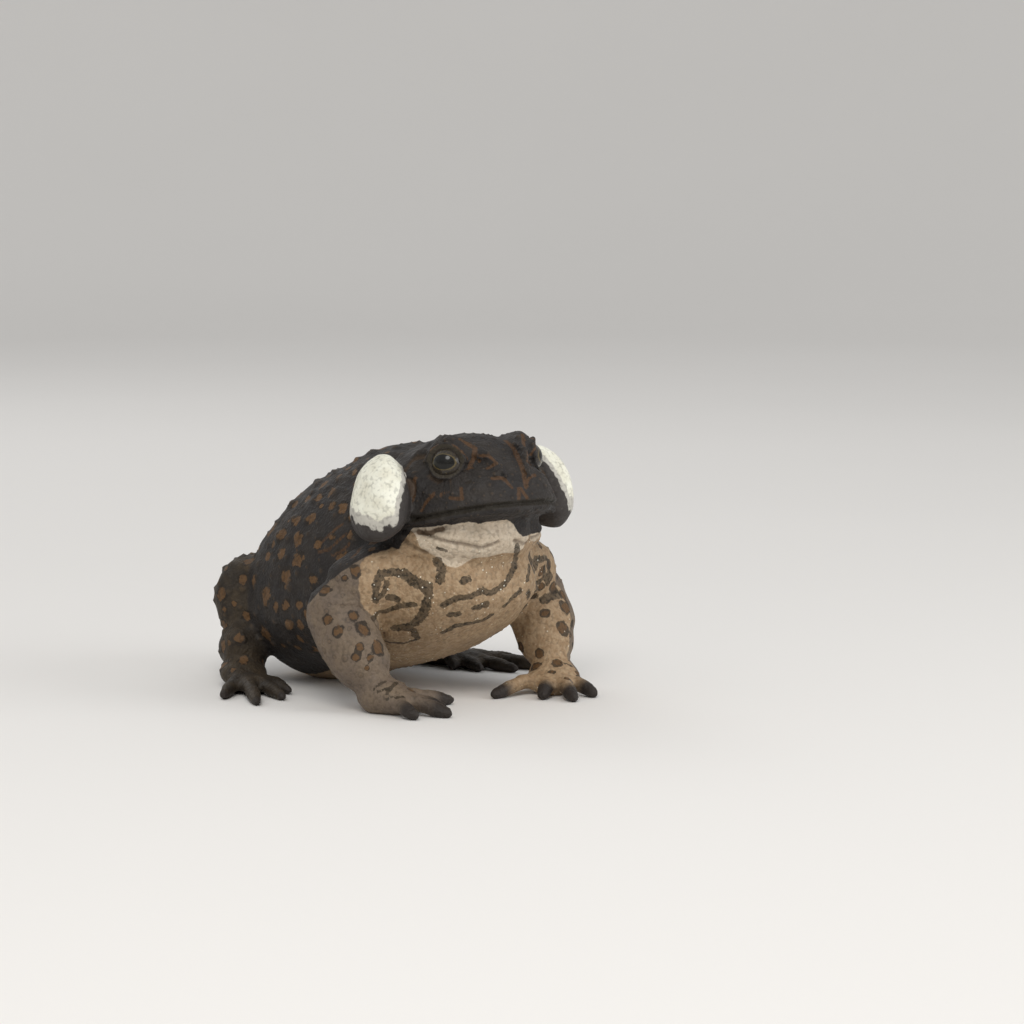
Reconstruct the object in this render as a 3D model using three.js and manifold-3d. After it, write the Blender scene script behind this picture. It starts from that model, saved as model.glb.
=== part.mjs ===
// A cane toad that sits upright, as a still model of life size.
// Millimetres, +Z up. The toad faces -Y, its right side is at -X, and the floor is z = 0.
import * as THREE from "three";
import { mergeVertices } from "three/addons/utils/BufferGeometryUtils.js";
import Module from "manifold-3d";

const wasm = await Module();
wasm.setup();

const at = (x, y, z) => new THREE.Vector3(x, y, z);
const upward = at(0, 0, 1);
const forward = at(0, -1, 0);

// Driving dimensions
const gap = 0.3; // between nodes that meet face to face
const mergeDistance = 1e-3;
const floorCut = { width: 400, depth: 60 };
const wartSeed = 1788;
const wartHeight = 0.5; // over the wart's radius
const leftArmInward = 2.2; // the left arm stands closer to the body than the right one

// The eyes, nostrils and eardrums are placed once, and the head is shaped round them.
const eye = { x: 17.6, y: -31, z: 92.3, radius: 6.8, lookOut: 0.82, lookForward: 0.5, lookUp: 0.16 };
const nostril = { x: 6.2, y: -48.4, z: 88.8, rim: 2.2, pit: 0.9, depth: 1.6 };
const nostrilFacing = { x: 0.6, y: -0.7, z: 0.35 };
const nostrilPitShift = { x: 1.2, y: -1.4, z: 0.4 };
const eardrum = { x: 28.6, y: -20.5, z: 82, radius: 4.6, thickness: 1.6 };
const lid = { opening: 5.9, upper: 2.9, lower: 1.5, forwardShift: 3.5, sides: 6, steps: 14 };
const lip = { halfWidth: 29.6, backY: -19, reach: 32.4, tuck: 0.9, round: 0.86, radius: 1.5, rise: 1.4 };
const mouth = {
  frontY: -76,
  tipY: -56,
  tipZ: 79,
  cornerY: -18,
  cornerZ: 71,
  backY: 14,
  backZ: 69.4,
  curve: 1.35,
};

// One ring of a body: its place, its half width, and its reach above and below that place.
const ring = (place, wide, up, down = up) => ({ place, wide, up, down });

// A ring that stands upright across the midline, from its lowest to its highest point.
const slice = (y, middleZ, halfWidth, bottomZ, topZ) =>
  ring(at(0, y, middleZ), halfWidth, topZ - middleZ, middleZ - bottomZ);

// A closed body whose surface runs through rings on a bent line, rounded off at both ends.
function makeBody(rings, { above = upward, sides = 16, steps = 14, blunt = 6, fullness = 1 } = {}) {
  const line = new THREE.CatmullRomCurve3(rings.map((one) => one.place));
  const reach = new THREE.CatmullRomCurve3(rings.map((one) => at(one.wide, one.up, one.down)));
  const spread = (value) => Math.sign(value) * Math.abs(value) ** fullness;

  const point = (t, angle) => {
    const along = line.getTangent(t);
    const side = along.clone().cross(above).normalize();
    const up = side.clone().cross(along);
    const size = reach.getPoint(t);
    const closing = Math.sqrt(Math.max(0, 1 - Math.abs(2 * t - 1) ** blunt));
    const rise = Math.sin(angle) > 0 ? size.y : size.z;
    return line
      .getPoint(t)
      .addScaledVector(side, spread(Math.cos(angle)) * size.x * closing)
      .addScaledVector(up, spread(Math.sin(angle)) * rise * closing);
  };

  const normal = (t, angle) => {
    const step = 0.01;
    const alongLine = point(t + step, angle).sub(point(t - step, angle));
    const roundRing = point(t, angle + step).sub(point(t, angle - step));
    return alongLine.cross(roundRing).normalize();
  };

  const geometry = new THREE.SphereGeometry(1, sides, steps);
  const places = geometry.attributes.position;
  for (let i = 0; i < places.count; i++) {
    const column = (i % (sides + 1)) % sides;
    const placed = point((1 + places.getY(i)) / 2, Math.PI * (1 - (2 * column) / sides));
    places.setXYZ(i, placed.x, placed.y, placed.z);
  }
  return { geometry, point, normal };
}

// A ball stretched along the way it faces and set at a place.
function makeBall(place, facing, radius, halfHeight, sides, steps) {
  const geometry = new THREE.SphereGeometry(1, sides, steps).scale(radius, halfHeight, radius);
  const turned = new THREE.Quaternion().setFromUnitVectors(at(0, 1, 0), facing.clone().normalize());
  geometry.applyQuaternion(turned).translate(place.x, place.y, place.z);
  return { geometry };
}

// Closed meshes as solids, plain or grown outwards
function closedMesh(geometry) {
  const bare = geometry.clone();
  bare.deleteAttribute("normal");
  bare.deleteAttribute("uv");
  return mergeVertices(bare, mergeDistance);
}

function solidOf(mesh) {
  return new wasm.Manifold(
    new wasm.Mesh({
      numProp: 3,
      vertProperties: mesh.attributes.position.array,
      triVerts: new Uint32Array(mesh.index.array),
    }),
  );
}

const solid = (body) => solidOf(closedMesh(body.geometry));

function grown(body, by = gap) {
  const mesh = closedMesh(body.geometry);
  mesh.computeVertexNormals();
  const places = mesh.attributes.position;
  const normals = mesh.attributes.normal;
  for (let i = 0; i < places.count; i++) {
    places.setXYZ(
      i,
      places.getX(i) + by * normals.getX(i),
      places.getY(i) + by * normals.getY(i),
      places.getZ(i) + by * normals.getZ(i),
    );
  }
  mesh.deleteAttribute("normal");
  return solidOf(mesh);
}

const joined = (solids) => wasm.Manifold.union(solids);
const cutBy = (whole, cutters) => cutters.reduce((left, cutter) => left.subtract(cutter), whole);

function largestPiece(whole) {
  const pieces = whole.decompose();
  return pieces.reduce((best, piece) => (piece.volume() > best.volume() ? piece : best));
}

// Everything below the floor is cut away, which leaves the flats that the toad sits on.
const underFloor = solid({
  geometry: new THREE.BoxGeometry(floorCut.width, floorCut.width, floorCut.depth).translate(
    0,
    0,
    -floorCut.depth / 2,
  ),
});

// Random draws that come out alike on every run
function makeRandom(seed) {
  let state = seed;
  return () => {
    state = (Math.imul(state, 1664525) + 1013904223) >>> 0;
    return state / 2 ** 32;
  };
}
const random = makeRandom(wartSeed);
const between = (low, high) => low + (high - low) * random();

// Warts: low domes with their roots sunk in the flesh, kept apart and clear of the next nodes
function makeWart(body, t, angle, radius) {
  const height = radius * wartHeight;
  const facing = body.normal(t, angle);
  const place = body.point(t, angle).addScaledVector(facing, -0.5 * height);
  return {
    place,
    radius,
    dome: makeBall(place, facing, radius, 1.5 * height, 6, 3),
  };
}

function scatterWarts(body, { count, along, round, size, spacing }, neighbours) {
  const warts = [];
  for (let tries = 0; tries < count * 12 && warts.length < count; tries++) {
    const wart = makeWart(body, between(...along), between(...round), between(...size));
    const crowded = warts.some(
      (other) => other.place.distanceTo(wart.place) < spacing * (other.radius + wart.radius),
    );
    if (crowded) {
      continue;
    }
    const room = grown(wart.dome, 2 * gap);
    if (neighbours.every((near) => room.intersect(near).isEmpty())) {
      warts.push(wart);
    }
  }
  return warts.map((wart) => solid(wart.dome));
}

// Trunk: from the chest to the rump, highest behind the head and widest at the flanks
const trunk = makeBody(
  [
    slice(-36, 51.5, 18, 44, 62),
    slice(-28.5, 48.5, 25, 34.5, 75),
    slice(-15, 44, 35, 24, 92),
    slice(5, 39.5, 42.5, 14, 97),
    slice(25, 36.5, 46, 8, 93),
    slice(45, 34.5, 47, 3, 85),
    slice(62, 31, 44.5, -1.6, 72),
    slice(78, 26, 35, -3, 52),
    slice(88, 22, 24, 2, 37),
    slice(94, 20, 14, 10, 28),
  ],
  { sides: 24, steps: 22, blunt: 24 },
);

// Head: broad and blunt, with the jaws in one form that the mouth parts below
const head = makeBody(
  [
    slice(-52.5, 80, 12, 74.5, 88),
    slice(-50, 79, 16, 73.5, 90.5),
    slice(-46, 78, 20.5, 72, 94),
    slice(-40, 76.5, 24.5, 69.5, 98.5),
    slice(-32, 75, 27.5, 67, 101.5),
    slice(-24, 74, 30, 65, 102),
    slice(-14, 73, 32.5, 63.5, 101),
    slice(-2, 73, 33, 62, 98),
    slice(10, 74, 28, 63, 93),
  ],
  { sides: 20, steps: 18, blunt: 20, fullness: 0.94 },
);

// Throat: the soft floor of the mouth that hangs from the jaw to the chest
const throat = makeBody(
  [
    slice(-43, 70, 14, 66, 74),
    slice(-37, 67, 22, 58, 74),
    slice(-26, 63, 28, 51.5, 75),
    slice(-12, 61, 32, 49, 77),
    slice(2, 61, 31, 50, 77),
  ],
  { sides: 18, steps: 10, blunt: 8 },
);

// Limbs and glands of one side, with side -1 for the right and +1 for the left
function makeSide(side) {
  const here = (x, y, z) => at(side * x, y, z);
  const armHere = (x, y, z) => here(x - (side > 0 ? leftArmInward : 0), y, z);

  const parotoid = makeBody(
    [
      ring(here(34.2, -26.6, 84.5), 6.8, 10.3, 11),
      ring(here(36.9, -21.3, 82.4), 9.3, 14.8, 16),
      ring(here(37.5, -14.5, 79.6), 10.1, 16.6, 18.4),
      ring(here(36.5, -8.5, 77), 9, 14, 15.6),
      ring(here(34.4, -4, 75.4), 6, 9),
    ],
    { above: here(-0.32, 0, 0.95), sides: 16, steps: 11, blunt: 5 },
  );

  const upperArm = makeBody(
    [
      ring(armHere(22, -13, 56), 9.5, 10),
      ring(armHere(31, -10, 51.5), 11, 11.5),
      ring(armHere(40, -5, 46), 12.5, 12.5),
      ring(armHere(47.4, -0.5, 40.5), 12.4, 12.4),
    ],
    { sides: 14, steps: 10, blunt: 5 },
  );

  const forearm = makeBody(
    [
      ring(armHere(48, 3.5, 46.5), 10.8, 10.8),
      ring(armHere(48, -1.8, 36), 12, 12),
      ring(armHere(47, -8, 26), 12.2, 12.2),
      ring(armHere(45.2, -13.5, 17), 10.9, 10.9),
      ring(armHere(44, -18.5, 8), 8, 8),
    ],
    { above: forward, sides: 14, steps: 10, blunt: 6 },
  );

  const thigh = makeBody(
    [
      ring(here(14, 80, 28), 13, 15),
      ring(here(28, 79, 32), 14, 16),
      ring(here(39, 73.5, 32.5), 13, 17.5),
      ring(here(45.5, 66.5, 32), 10.5, 15),
    ],
    { sides: 14, steps: 10, blunt: 5 },
  );

  const shank = makeBody(
    [
      ring(here(41, 61, 18), 8, 9),
      ring(here(43, 67, 15.5), 8.5, 10),
      ring(here(40, 75, 12.5), 8.5, 10),
      ring(here(36, 82, 9), 7, 8),
    ],
    { above: here(1, 0, 0.4), sides: 14, steps: 10, blunt: 5 },
  );

  const eyeball = makeBall(here(eye.x, eye.y, eye.z), here(1, 0, 0), eye.radius, eye.radius, 14, 10);

  return {
    parotoid: [parotoid],
    upper_arm: [upperArm],
    forearm: [forearm],
    hand: makeHand(armHere),
    thigh: [thigh],
    shank: [shank],
    foot: makeFoot(here),
    eyeball,
    eardrum: makeEardrum(here),
    headForms: makeHeadForms(here),
    nostrilPit: makeNostrilPit(here),
  };
}

// Hand: a palm and four free fingers, turned inwards
function makeHand(here) {
  const wrist = { x: 43.5, y: -19, heading: 0.62 };
  const fingers = [
    { turn: 0.82, length: 34, radius: 3.1 },
    { turn: 0.2, length: 27.5, radius: 3.2 },
    { turn: -0.2, length: 33, radius: 3.3 },
    { turn: -0.62, length: 27, radius: 3.1 },
  ];
  const reachTo = (turn, distance, z) => {
    const heading = wrist.heading + turn;
    return here(wrist.x - distance * Math.sin(heading), wrist.y - distance * Math.cos(heading), z);
  };
  const palm = makeBody(
    [
      ring(reachTo(0, -7, 7), 7, 6, 8),
      ring(reachTo(0, 2, 7), 9.5, 7, 8),
      ring(reachTo(0, 11, 5), 10.5, 4.5, 6),
      ring(reachTo(0, 17, 3.5), 8, 3, 5),
    ],
    { sides: 12, steps: 7, blunt: 4 },
  );
  const digits = fingers.map(({ turn, length, radius }) =>
    makeBody(
      [
        ring(reachTo(turn * 0.5, 6, 5), radius, radius),
        ring(reachTo(turn, length * 0.45, 5), radius, radius),
        ring(reachTo(turn, length * 0.7, 3.6), radius * 0.82, radius * 0.85),
        ring(reachTo(turn, length * 0.87, 2.2), radius * 0.85, radius * 0.8),
        ring(reachTo(turn, length, 1.5), radius * 0.75, radius * 0.7),
      ],
      { sides: 8, steps: 6, blunt: 7 },
    ),
  );
  return [palm, ...digits];
}

// Foot: the heel and sole, five toes, and the web between their roots
function makeFoot(here) {
  const heel = { x: 37, y: 83 };
  const sole = { x: 49, y: 61, heading: 0.36 };
  const toes = [
    { turn: -0.78, length: 20, radius: 3.0 },
    { turn: -0.46, length: 29, radius: 3.1 },
    { turn: -0.17, length: 40, radius: 3.2 },
    { turn: 0.12, length: 49, radius: 3.3 },
    { turn: 0.46, length: 34, radius: 3.1 },
  ];
  const webShare = 0.56;
  const webDip = 0.42;
  const webTop = 1.9;
  const reachTo = (turn, distance, z) => {
    const heading = sole.heading + turn;
    return here(sole.x + distance * Math.sin(heading), sole.y - distance * Math.cos(heading), z);
  };
  const tarsus = makeBody(
    [
      ring(here(heel.x - 2, heel.y + 3, 7), 6.5, 6, 7.5),
      ring(here((heel.x + sole.x) / 2 - 2, (heel.y + sole.y) / 2, 7), 7.5, 6.5, 7.5),
      ring(here(sole.x - 1, sole.y + 2, 6), 9, 5.5, 6.5),
      ring(reachTo(0, 9, 3.6), 9.5, 3.4, 5),
    ],
    { sides: 12, steps: 8, blunt: 5 },
  );
  const digits = toes.map(({ turn, length, radius }) =>
    makeBody(
      [
        ring(reachTo(turn * 0.3, 0, 4.4), radius, radius),
        ring(reachTo(turn, length * 0.4, 3.6), radius * 0.95, radius * 0.95),
        ring(reachTo(turn, length * 0.7, 2.8), radius * 0.8, radius * 0.85),
        ring(reachTo(turn, length, 1.5), radius * 0.66, radius * 0.66),
      ],
      { sides: 8, steps: 6, blunt: 7 },
    ),
  );
  return [tarsus, ...digits, makeWeb(toes, reachTo, webShare, webDip, webTop)];
}

// Web: a thin plate that joins the toes and dips back between them
function makeWeb(toes, reachTo, webShare, webDip, webTop) {
  const root = reachTo(0, 0, 0);
  const outline = new THREE.Shape();
  outline.moveTo(root.x, root.y);
  toes.forEach((toe, index) => {
    const tip = reachTo(toe.turn, toe.length * webShare, 0);
    outline.lineTo(tip.x, tip.y);
    const next = toes[index + 1];
    if (next) {
      const dip = reachTo((toe.turn + next.turn) / 2, Math.min(toe.length, next.length) * webDip, 0);
      outline.lineTo(dip.x, dip.y);
    }
  });
  outline.closePath();
  const geometry = new THREE.ExtrudeGeometry(outline, { depth: webTop, bevelEnabled: false });
  return { geometry };
}

// Eardrum: a low round disc behind the eye
function makeEardrum(here) {
  const facing = here(1, -0.3, 0.28);
  return makeBall(
    here(eardrum.x, eardrum.y, eardrum.z),
    facing,
    eardrum.radius,
    eardrum.thickness,
    14,
    5,
  );
}

// Lids, crests and nostril rim of one side, all rooted in the head
function makeHeadForms(here) {
  const ridge = (rings, above) => makeBody(rings, { above, sides: 5, steps: 7, blunt: 3 });
  const browCrest = ridge([
    ring(here(6.4, -47.5, 91), 1.4, 1.8),
    ring(here(8.6, -43, 95.2), 1.8, 2),
    ring(here(11.4, -37, 98), 2, 2.2),
    ring(here(13.4, -30, 99.4), 2.2, 2.6),
    ring(here(15.4, -22.5, 98.6), 2.2, 2.4),
    ring(here(21, -17, 95), 2, 2.2),
    ring(here(26.5, -15, 89.8), 1.5, 1.6),
  ]);
  const frontCrest = ridge(
    [
      ring(here(11.2, -38, 98), 1.2, 1.6),
      ring(here(16, -39.5, 94), 1.5, 1.7),
      ring(here(19.8, -40, 89), 1.5, 1.7),
      ring(here(22.4, -40, 84.5), 1.1, 1.2),
    ],
    forward,
  );
  const backCrest = ridge(
    [
      ring(here(16, -22, 98.2), 1.2, 1.6),
      ring(here(21.4, -22, 94.6), 1.5, 1.7),
      ring(here(24.8, -22.6, 89.6), 1.5, 1.7),
      ring(here(27.4, -24, 84.6), 1.1, 1.2),
    ],
    forward,
  );
  const nostrilRim = makeBall(
    here(nostril.x, nostril.y, nostril.z),
    here(nostrilFacing.x, nostrilFacing.y, nostrilFacing.z),
    nostril.rim,
    nostril.rim * 0.8,
    7,
    5,
  );
  return [browCrest, frontCrest, backCrest, nostrilRim, makeLids(here)];
}

// Lids: one ring round the eyeball, thick over the top and thin below
function makeLids(here) {
  const facing = here(eye.lookOut, -eye.lookForward, eye.lookUp).normalize();
  const geometry = new THREE.TorusGeometry(lid.opening, 1, lid.sides, lid.steps);
  const places = geometry.attributes.position;
  for (let i = 0; i < places.count; i++) {
    const placed = at(places.getX(i), places.getY(i), places.getZ(i));
    const middle = at(placed.x, placed.y, 0).setLength(lid.opening);
    const thickness = THREE.MathUtils.lerp(lid.lower, lid.upper, (1 + placed.y / lid.opening) / 2);
    placed.sub(middle).multiplyScalar(thickness).add(middle.multiplyScalar(1 + 0.1 * thickness));
    places.setXYZ(i, placed.x, placed.y, placed.z);
  }
  const turned = new THREE.Matrix4().lookAt(facing, at(0, 0, 0), upward);
  const place = facing.clone().multiplyScalar(lid.forwardShift).add(here(eye.x, eye.y, eye.z));
  geometry.applyMatrix4(turned).translate(place.x, place.y, place.z);
  return { geometry };
}

function makeNostrilPit(here) {
  return makeBall(
    here(nostril.x + nostrilPitShift.x, nostril.y + nostrilPitShift.y, nostril.z + nostrilPitShift.z),
    here(nostrilFacing.x, nostrilFacing.y, nostrilFacing.z),
    nostril.pit,
    nostril.depth,
    6,
    4,
  );
}

// Lips: low rounded rims along both jaws, one just over the mouth and one just under it
function makeLip(rise) {
  const lipReach = 18;
  const rings = [];
  for (let i = 0; i <= lipReach; i++) {
    const angle = Math.PI * (i / lipReach - 0.5);
    const x = lip.halfWidth * Math.sign(angle) * Math.abs(Math.sin(angle)) ** lip.tuck;
    const y = lip.backY - lip.reach * Math.cos(angle) ** lip.round;
    rings.push(ring(at(x, y, mouthHeight(y) + rise), lip.radius, lip.radius));
  }
  return makeBody(rings, { sides: 5, steps: 16, blunt: 12 });
}

// The mouth rises from its corners to the tip of the snout.
function mouthHeight(y) {
  const share = (mouth.cornerY - y) / (mouth.cornerY - mouth.tipY);
  return mouth.cornerZ + (mouth.tipZ - mouth.cornerZ) * Math.max(0, share) ** mouth.curve;
}

// The line of the mouth seen from the side, from before the snout to behind the head
function mouthLine() {
  const steps = 8;
  const points = [new THREE.Vector2(mouth.frontY, mouth.tipZ)];
  for (let i = 0; i <= steps; i++) {
    const y = mouth.tipY + ((mouth.cornerY - mouth.tipY) * i) / steps;
    points.push(new THREE.Vector2(y, mouthHeight(y)));
  }
  points.push(new THREE.Vector2(mouth.backY, mouth.backZ));
  return points;
}

// An outline in the side view, drawn out right across the head
function acrossHead(points) {
  const halfWidth = 60;
  const geometry = new THREE.ExtrudeGeometry(new THREE.Shape(points), {
    depth: 2 * halfWidth,
    bevelEnabled: false,
  });
  const sideView = new THREE.Matrix4().makeBasis(at(0, 1, 0), at(0, 0, 1), at(1, 0, 0));
  geometry.translate(0, 0, -halfWidth).applyMatrix4(sideView);
  return solid({ geometry });
}

// The space over the mouth, which parts the upper jaw from the lower one by the gap
function makeOverMouth(lift) {
  const skyZ = 130;
  const line = mouthLine().map((point) => new THREE.Vector2(point.x, point.y + lift));
  return acrossHead([
    ...line,
    new THREE.Vector2(mouth.backY, skyZ),
    new THREE.Vector2(mouth.frontY, skyZ),
  ]);
}

// The nodes, each cut back by the gap from every one that comes before it
const sides = { right: makeSide(-1), left: makeSide(1) };
const bothSides = Object.entries(sides);
const taken = [];
const nodes = new Map();

function addNode(name, bodies) {
  nodes.set(name, cutBy(joined(bodies.map(solid)), taken));
  taken.push(...bodies.map((body) => grown(body)));
}

addNode("whole_head", [head]);
addNode("trunk", [trunk]);
addNode("throat", [throat]);
for (const part of ["parotoid", "upper_arm", "forearm", "hand", "thigh", "shank", "foot"]) {
  for (const [name, one] of bothSides) {
    addNode(part + "_" + name, one[part]);
  }
}

// Lids, crests, lips and nostrils are joined to the head before the mouth parts it.
const lips = [makeLip(lip.rise), makeLip(-lip.rise)];
const headForms = [...bothSides.flatMap(([, one]) => one.headForms), ...lips];
const glands = bothSides.map(([, one]) => grown(one.parotoid[0]));
const headHollows = bothSides.flatMap(([, one]) => [
  grown(one.eyeball),
  grown(one.eardrum),
  solid(one.nostrilPit),
]);
const formedHead = cutBy(
  nodes.get("whole_head").add(cutBy(joined(headForms.map(solid)), [grown(trunk), grown(throat), ...glands])),
  headHollows,
);
nodes.delete("whole_head");
nodes.set("head", formedHead.intersect(makeOverMouth(gap / 2)));
nodes.set("lower_jaw", formedHead.subtract(makeOverMouth(-gap / 2)));
for (const [name, one] of bothSides) {
  nodes.set("eye_" + name, solid(one.eyeball));
  nodes.set("eardrum_" + name, cutBy(solid(one.eardrum), glands));
}

// Warts cover the back, the flanks and the outer sides of the limbs, and small ones the face.
const halfTurn = Math.PI;
const trunkWarts = { count: 42, along: [0.2, 0.94], round: [-0.08, 1.08], size: [1.8, 3.4], spacing: 1.35 };
const headWarts = { count: 16, along: [0.3, 0.8], round: [-0.02, 1.02], size: [0.9, 1.5], spacing: 1.8 };
const limbWarts = {
  upper_arm: { count: 3, along: [0.2, 0.9], round: [0, 2], size: [1.4, 2.2], spacing: 1.6 },
  forearm: { count: 6, along: [0.15, 0.8], round: [0, 2], size: [1.5, 2.4], spacing: 1.6 },
  thigh: { count: 7, along: [0.2, 0.95], round: [0, 2], size: [1.6, 2.8], spacing: 1.5 },
  shank: { count: 4, along: [0.1, 0.9], round: [0, 2], size: [1.5, 2.4], spacing: 1.5 },
};

function addWarts(name, body, pattern) {
  const neighbours = [...nodes].filter(([other]) => other !== name).map(([, shape]) => shape);
  const round = pattern.round.map((share) => share * halfTurn);
  const warts = scatterWarts(body, { ...pattern, round }, [...neighbours, underFloor]);
  nodes.set(name, nodes.get(name).add(joined(warts)));
}

addWarts("trunk", trunk, trunkWarts);
addWarts("head", head, headWarts);
for (const [part, pattern] of Object.entries(limbWarts)) {
  for (const [name, one] of bothSides) {
    addWarts(part + "_" + name, one[part][0], pattern);
  }
}

// Colours by the first word of a node's name
const looks = {
  trunk: { color: 0x3e3732, roughness: 0.75 },
  head: { color: 0x3a3634, roughness: 0.75 },
  lower: { color: 0x3a3634, roughness: 0.75 },
  throat: { color: 0xae9e89, roughness: 0.7 },
  eye: { color: 0x2a2620, roughness: 0.15 },
  eardrum: { color: 0x4a3c2e, roughness: 0.6 },
  parotoid: { color: 0xe6e5d7, roughness: 0.6 },
  upper: { color: 0x675b51, roughness: 0.75 },
  forearm: { color: 0x675b51, roughness: 0.75 },
  hand: { color: 0x5f5342, roughness: 0.75 },
  thigh: { color: 0x413526, roughness: 0.75 },
  shank: { color: 0x37302a, roughness: 0.75 },
  foot: { color: 0x37302a, roughness: 0.75 },
};

function makeMesh(name, shape) {
  const data = largestPiece(shape.subtract(underFloor)).getMesh();
  const geometry = new THREE.BufferGeometry();
  geometry.setAttribute("position", new THREE.BufferAttribute(data.vertProperties, 3));
  geometry.setIndex(new THREE.BufferAttribute(data.triVerts, 1));
  const look = looks[name.split("_")[0]];
  const mesh = new THREE.Mesh(geometry, new THREE.MeshStandardMaterial({ ...look, metalness: 0 }));
  mesh.name = name;
  return mesh;
}

const toad = new THREE.Group();
for (const [name, shape] of nodes) {
  toad.add(makeMesh(name, shape));
}

// The origin is on the floor, in the middle of the toad's length and width.
const middle = new THREE.Box3().setFromObject(toad).getCenter(at(0, 0, 0));
for (const mesh of toad.children) {
  mesh.geometry.translate(-middle.x, -middle.y, 0);
}

export default toad;
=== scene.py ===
"""A cane toad that sits upright, as a still model of life size.

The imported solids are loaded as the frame. One skin with warts, folds, lids and markings
stands for all nodes of flesh, and two eyeballs stand for the eyes.
"""

import math
import random

import bmesh
import bpy
import numpy as np
from bpy.props import FloatProperty, FloatVectorProperty, IntProperty, PointerProperty
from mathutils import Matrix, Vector
from mathutils.bvhtree import BVHTree
from mathutils.kdtree import KDTree


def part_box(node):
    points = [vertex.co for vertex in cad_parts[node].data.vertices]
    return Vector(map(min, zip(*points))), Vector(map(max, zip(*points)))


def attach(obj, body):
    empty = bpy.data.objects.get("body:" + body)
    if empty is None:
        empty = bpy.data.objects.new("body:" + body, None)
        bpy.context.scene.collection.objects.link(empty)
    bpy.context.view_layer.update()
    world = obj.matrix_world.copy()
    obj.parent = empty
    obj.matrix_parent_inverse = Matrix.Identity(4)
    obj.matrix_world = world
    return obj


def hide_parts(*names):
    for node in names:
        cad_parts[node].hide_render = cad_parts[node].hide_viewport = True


bl_info = {
    "name": "Cane toad",
    "version": (1, 0, 0),
    "blender": (4, 5, 0),
    "location": "View3D > Sidebar > Toad",
    "description": "Builds the skin, eyes and stage of a life-size cane toad",
    "category": "Object",
}

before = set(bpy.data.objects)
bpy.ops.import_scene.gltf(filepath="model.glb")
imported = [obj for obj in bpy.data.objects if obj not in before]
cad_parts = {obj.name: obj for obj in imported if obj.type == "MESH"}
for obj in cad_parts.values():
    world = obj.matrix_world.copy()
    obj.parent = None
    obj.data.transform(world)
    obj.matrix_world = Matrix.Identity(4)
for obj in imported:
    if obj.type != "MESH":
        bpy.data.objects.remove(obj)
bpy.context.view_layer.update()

# Sizes are in millimetres in the source's own frame, which BACKWARD moves onto the row's.
MM = 0.001
EYE = {"x": 17.6, "y": -31.0, "z": 92.3, "radius": 6.8}
LIDS = {"upper": 1.6, "lower": 0.75, "sunk": 1.6}
EYE_OPENING = {"half_width": 6.6, "up": 5.6, "down": 5.3}
GAZE = (0.82, -0.5, 0.16)
EARDRUM = {"place": (28.6, -20.5, 82.0), "facing": (1.0, -0.3, 0.28), "radius": 4.6}
NOSTRIL = {"place": (7.2, -49.8, 89.2), "rim": (6.2, -48.4, 88.8), "radius": 2.2}
MOUTH = {"tip_y": -56.0, "tip_z": 79.0, "corner_y": -18.0, "corner_z": 71.0, "curve": 1.35}
LIP = {"half_width": 29.6, "back_y": -19.0, "reach": 32.4, "tuck": 0.9, "round": 0.86}
BACKWARD = 0.5 * (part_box("eye_left")[0].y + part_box("eye_left")[1].y) / MM - EYE["y"]
SIDES = {"right": -1, "left": 1}
ARM_INWARD = {-1: 0.0, 1: 2.2}
FLESH = ["trunk", "throat", "head", "lower_jaw"] + [
    part + "_" + side
    for side in SIDES
    for part in ("parotoid", "upper_arm", "forearm", "hand", "thigh", "shank", "foot", "eardrum")
]
SEED = 1788
# What a field holds where its feature is out of reach, in sizes of the feature
FAR_FIELD = 3.0
MARK_REACH = 4.0
OWNER_REACH = 6.0
WARTS = {"spacing": 1.25, "reach": 1.6, "skirt": 1.1}
PORES = {"tries": 900, "spacing": 1.5, "reach": 2.0, "depth": 0.38}
SPOTS = {"tries": 2400, "spacing": 1.15, "reach": 1.8}
LINE = {"step": 0.7, "depth": 0.3}

# The camera stands to the right of the toad's face, and these place it in the photograph's frame.
PICTURE = 1024
CAMERA = {"azimuth": -38.0, "elevation": 6.0, "distance": 1300.0, "scale": 2.6}
ORIGIN_SEEN_AT = (438.0, 694.0)


def to_row(point):
    """A point of the source's frame in metres of the row's frame."""
    return Vector((point[0], point[1] + BACKWARD, point[2])) * MM


def mirrored(place, side):
    """A place given for the left side, on the side that is asked for."""
    return side * place[0], place[1], place[2]


# Closed bodies that run through rings on a bent line
def ring(place, wide, up, down=None):
    return Vector(place), Vector((wide, up, up if down is None else down))


def side_rings(side, rows, inward=0.0):
    """Rings from rows of x, y, z, half width, rise and, where it isn't the same, drop."""
    return [ring((side * (x - inward), y, z), *reach) for x, y, z, *reach in rows]


def middle_rings(rows):
    """Rings across the middle from rows of y, middle z, half width, lowest z and highest z."""
    return [ring((0, y, z), half_width, high - z, z - low) for y, z, half_width, low, high in rows]


def bent_line(points, share):
    """A point on the smooth line through the points, as share goes from 0 to 1."""
    last = len(points) - 1
    step = min(int(share * last), last - 1)
    part = share * last - step
    here, after = points[step], points[step + 1]
    before = points[step - 1] if step > 0 else 2 * here - after
    beyond = points[step + 2] if step + 2 <= last else 2 * after - here
    gaps = [math.sqrt((b - a).length) for a, b in ((before, here), (here, after), (after, beyond))]
    middle = gaps[1] if gaps[1] > 1e-4 else 1.0
    first, final = (gap if gap > 1e-4 else middle for gap in (gaps[0], gaps[2]))
    start = (here - before) / first - (after - before) / (first + middle) + (after - here) / middle
    end = (after - here) / middle - (beyond - here) / (middle + final) + (beyond - after) / final
    start, end = start * middle, end * middle
    return (
        here
        + start * part
        + (3 * (after - here) - 2 * start - end) * part**2
        + (2 * (here - after) + start + end) * part**3
    )


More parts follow.
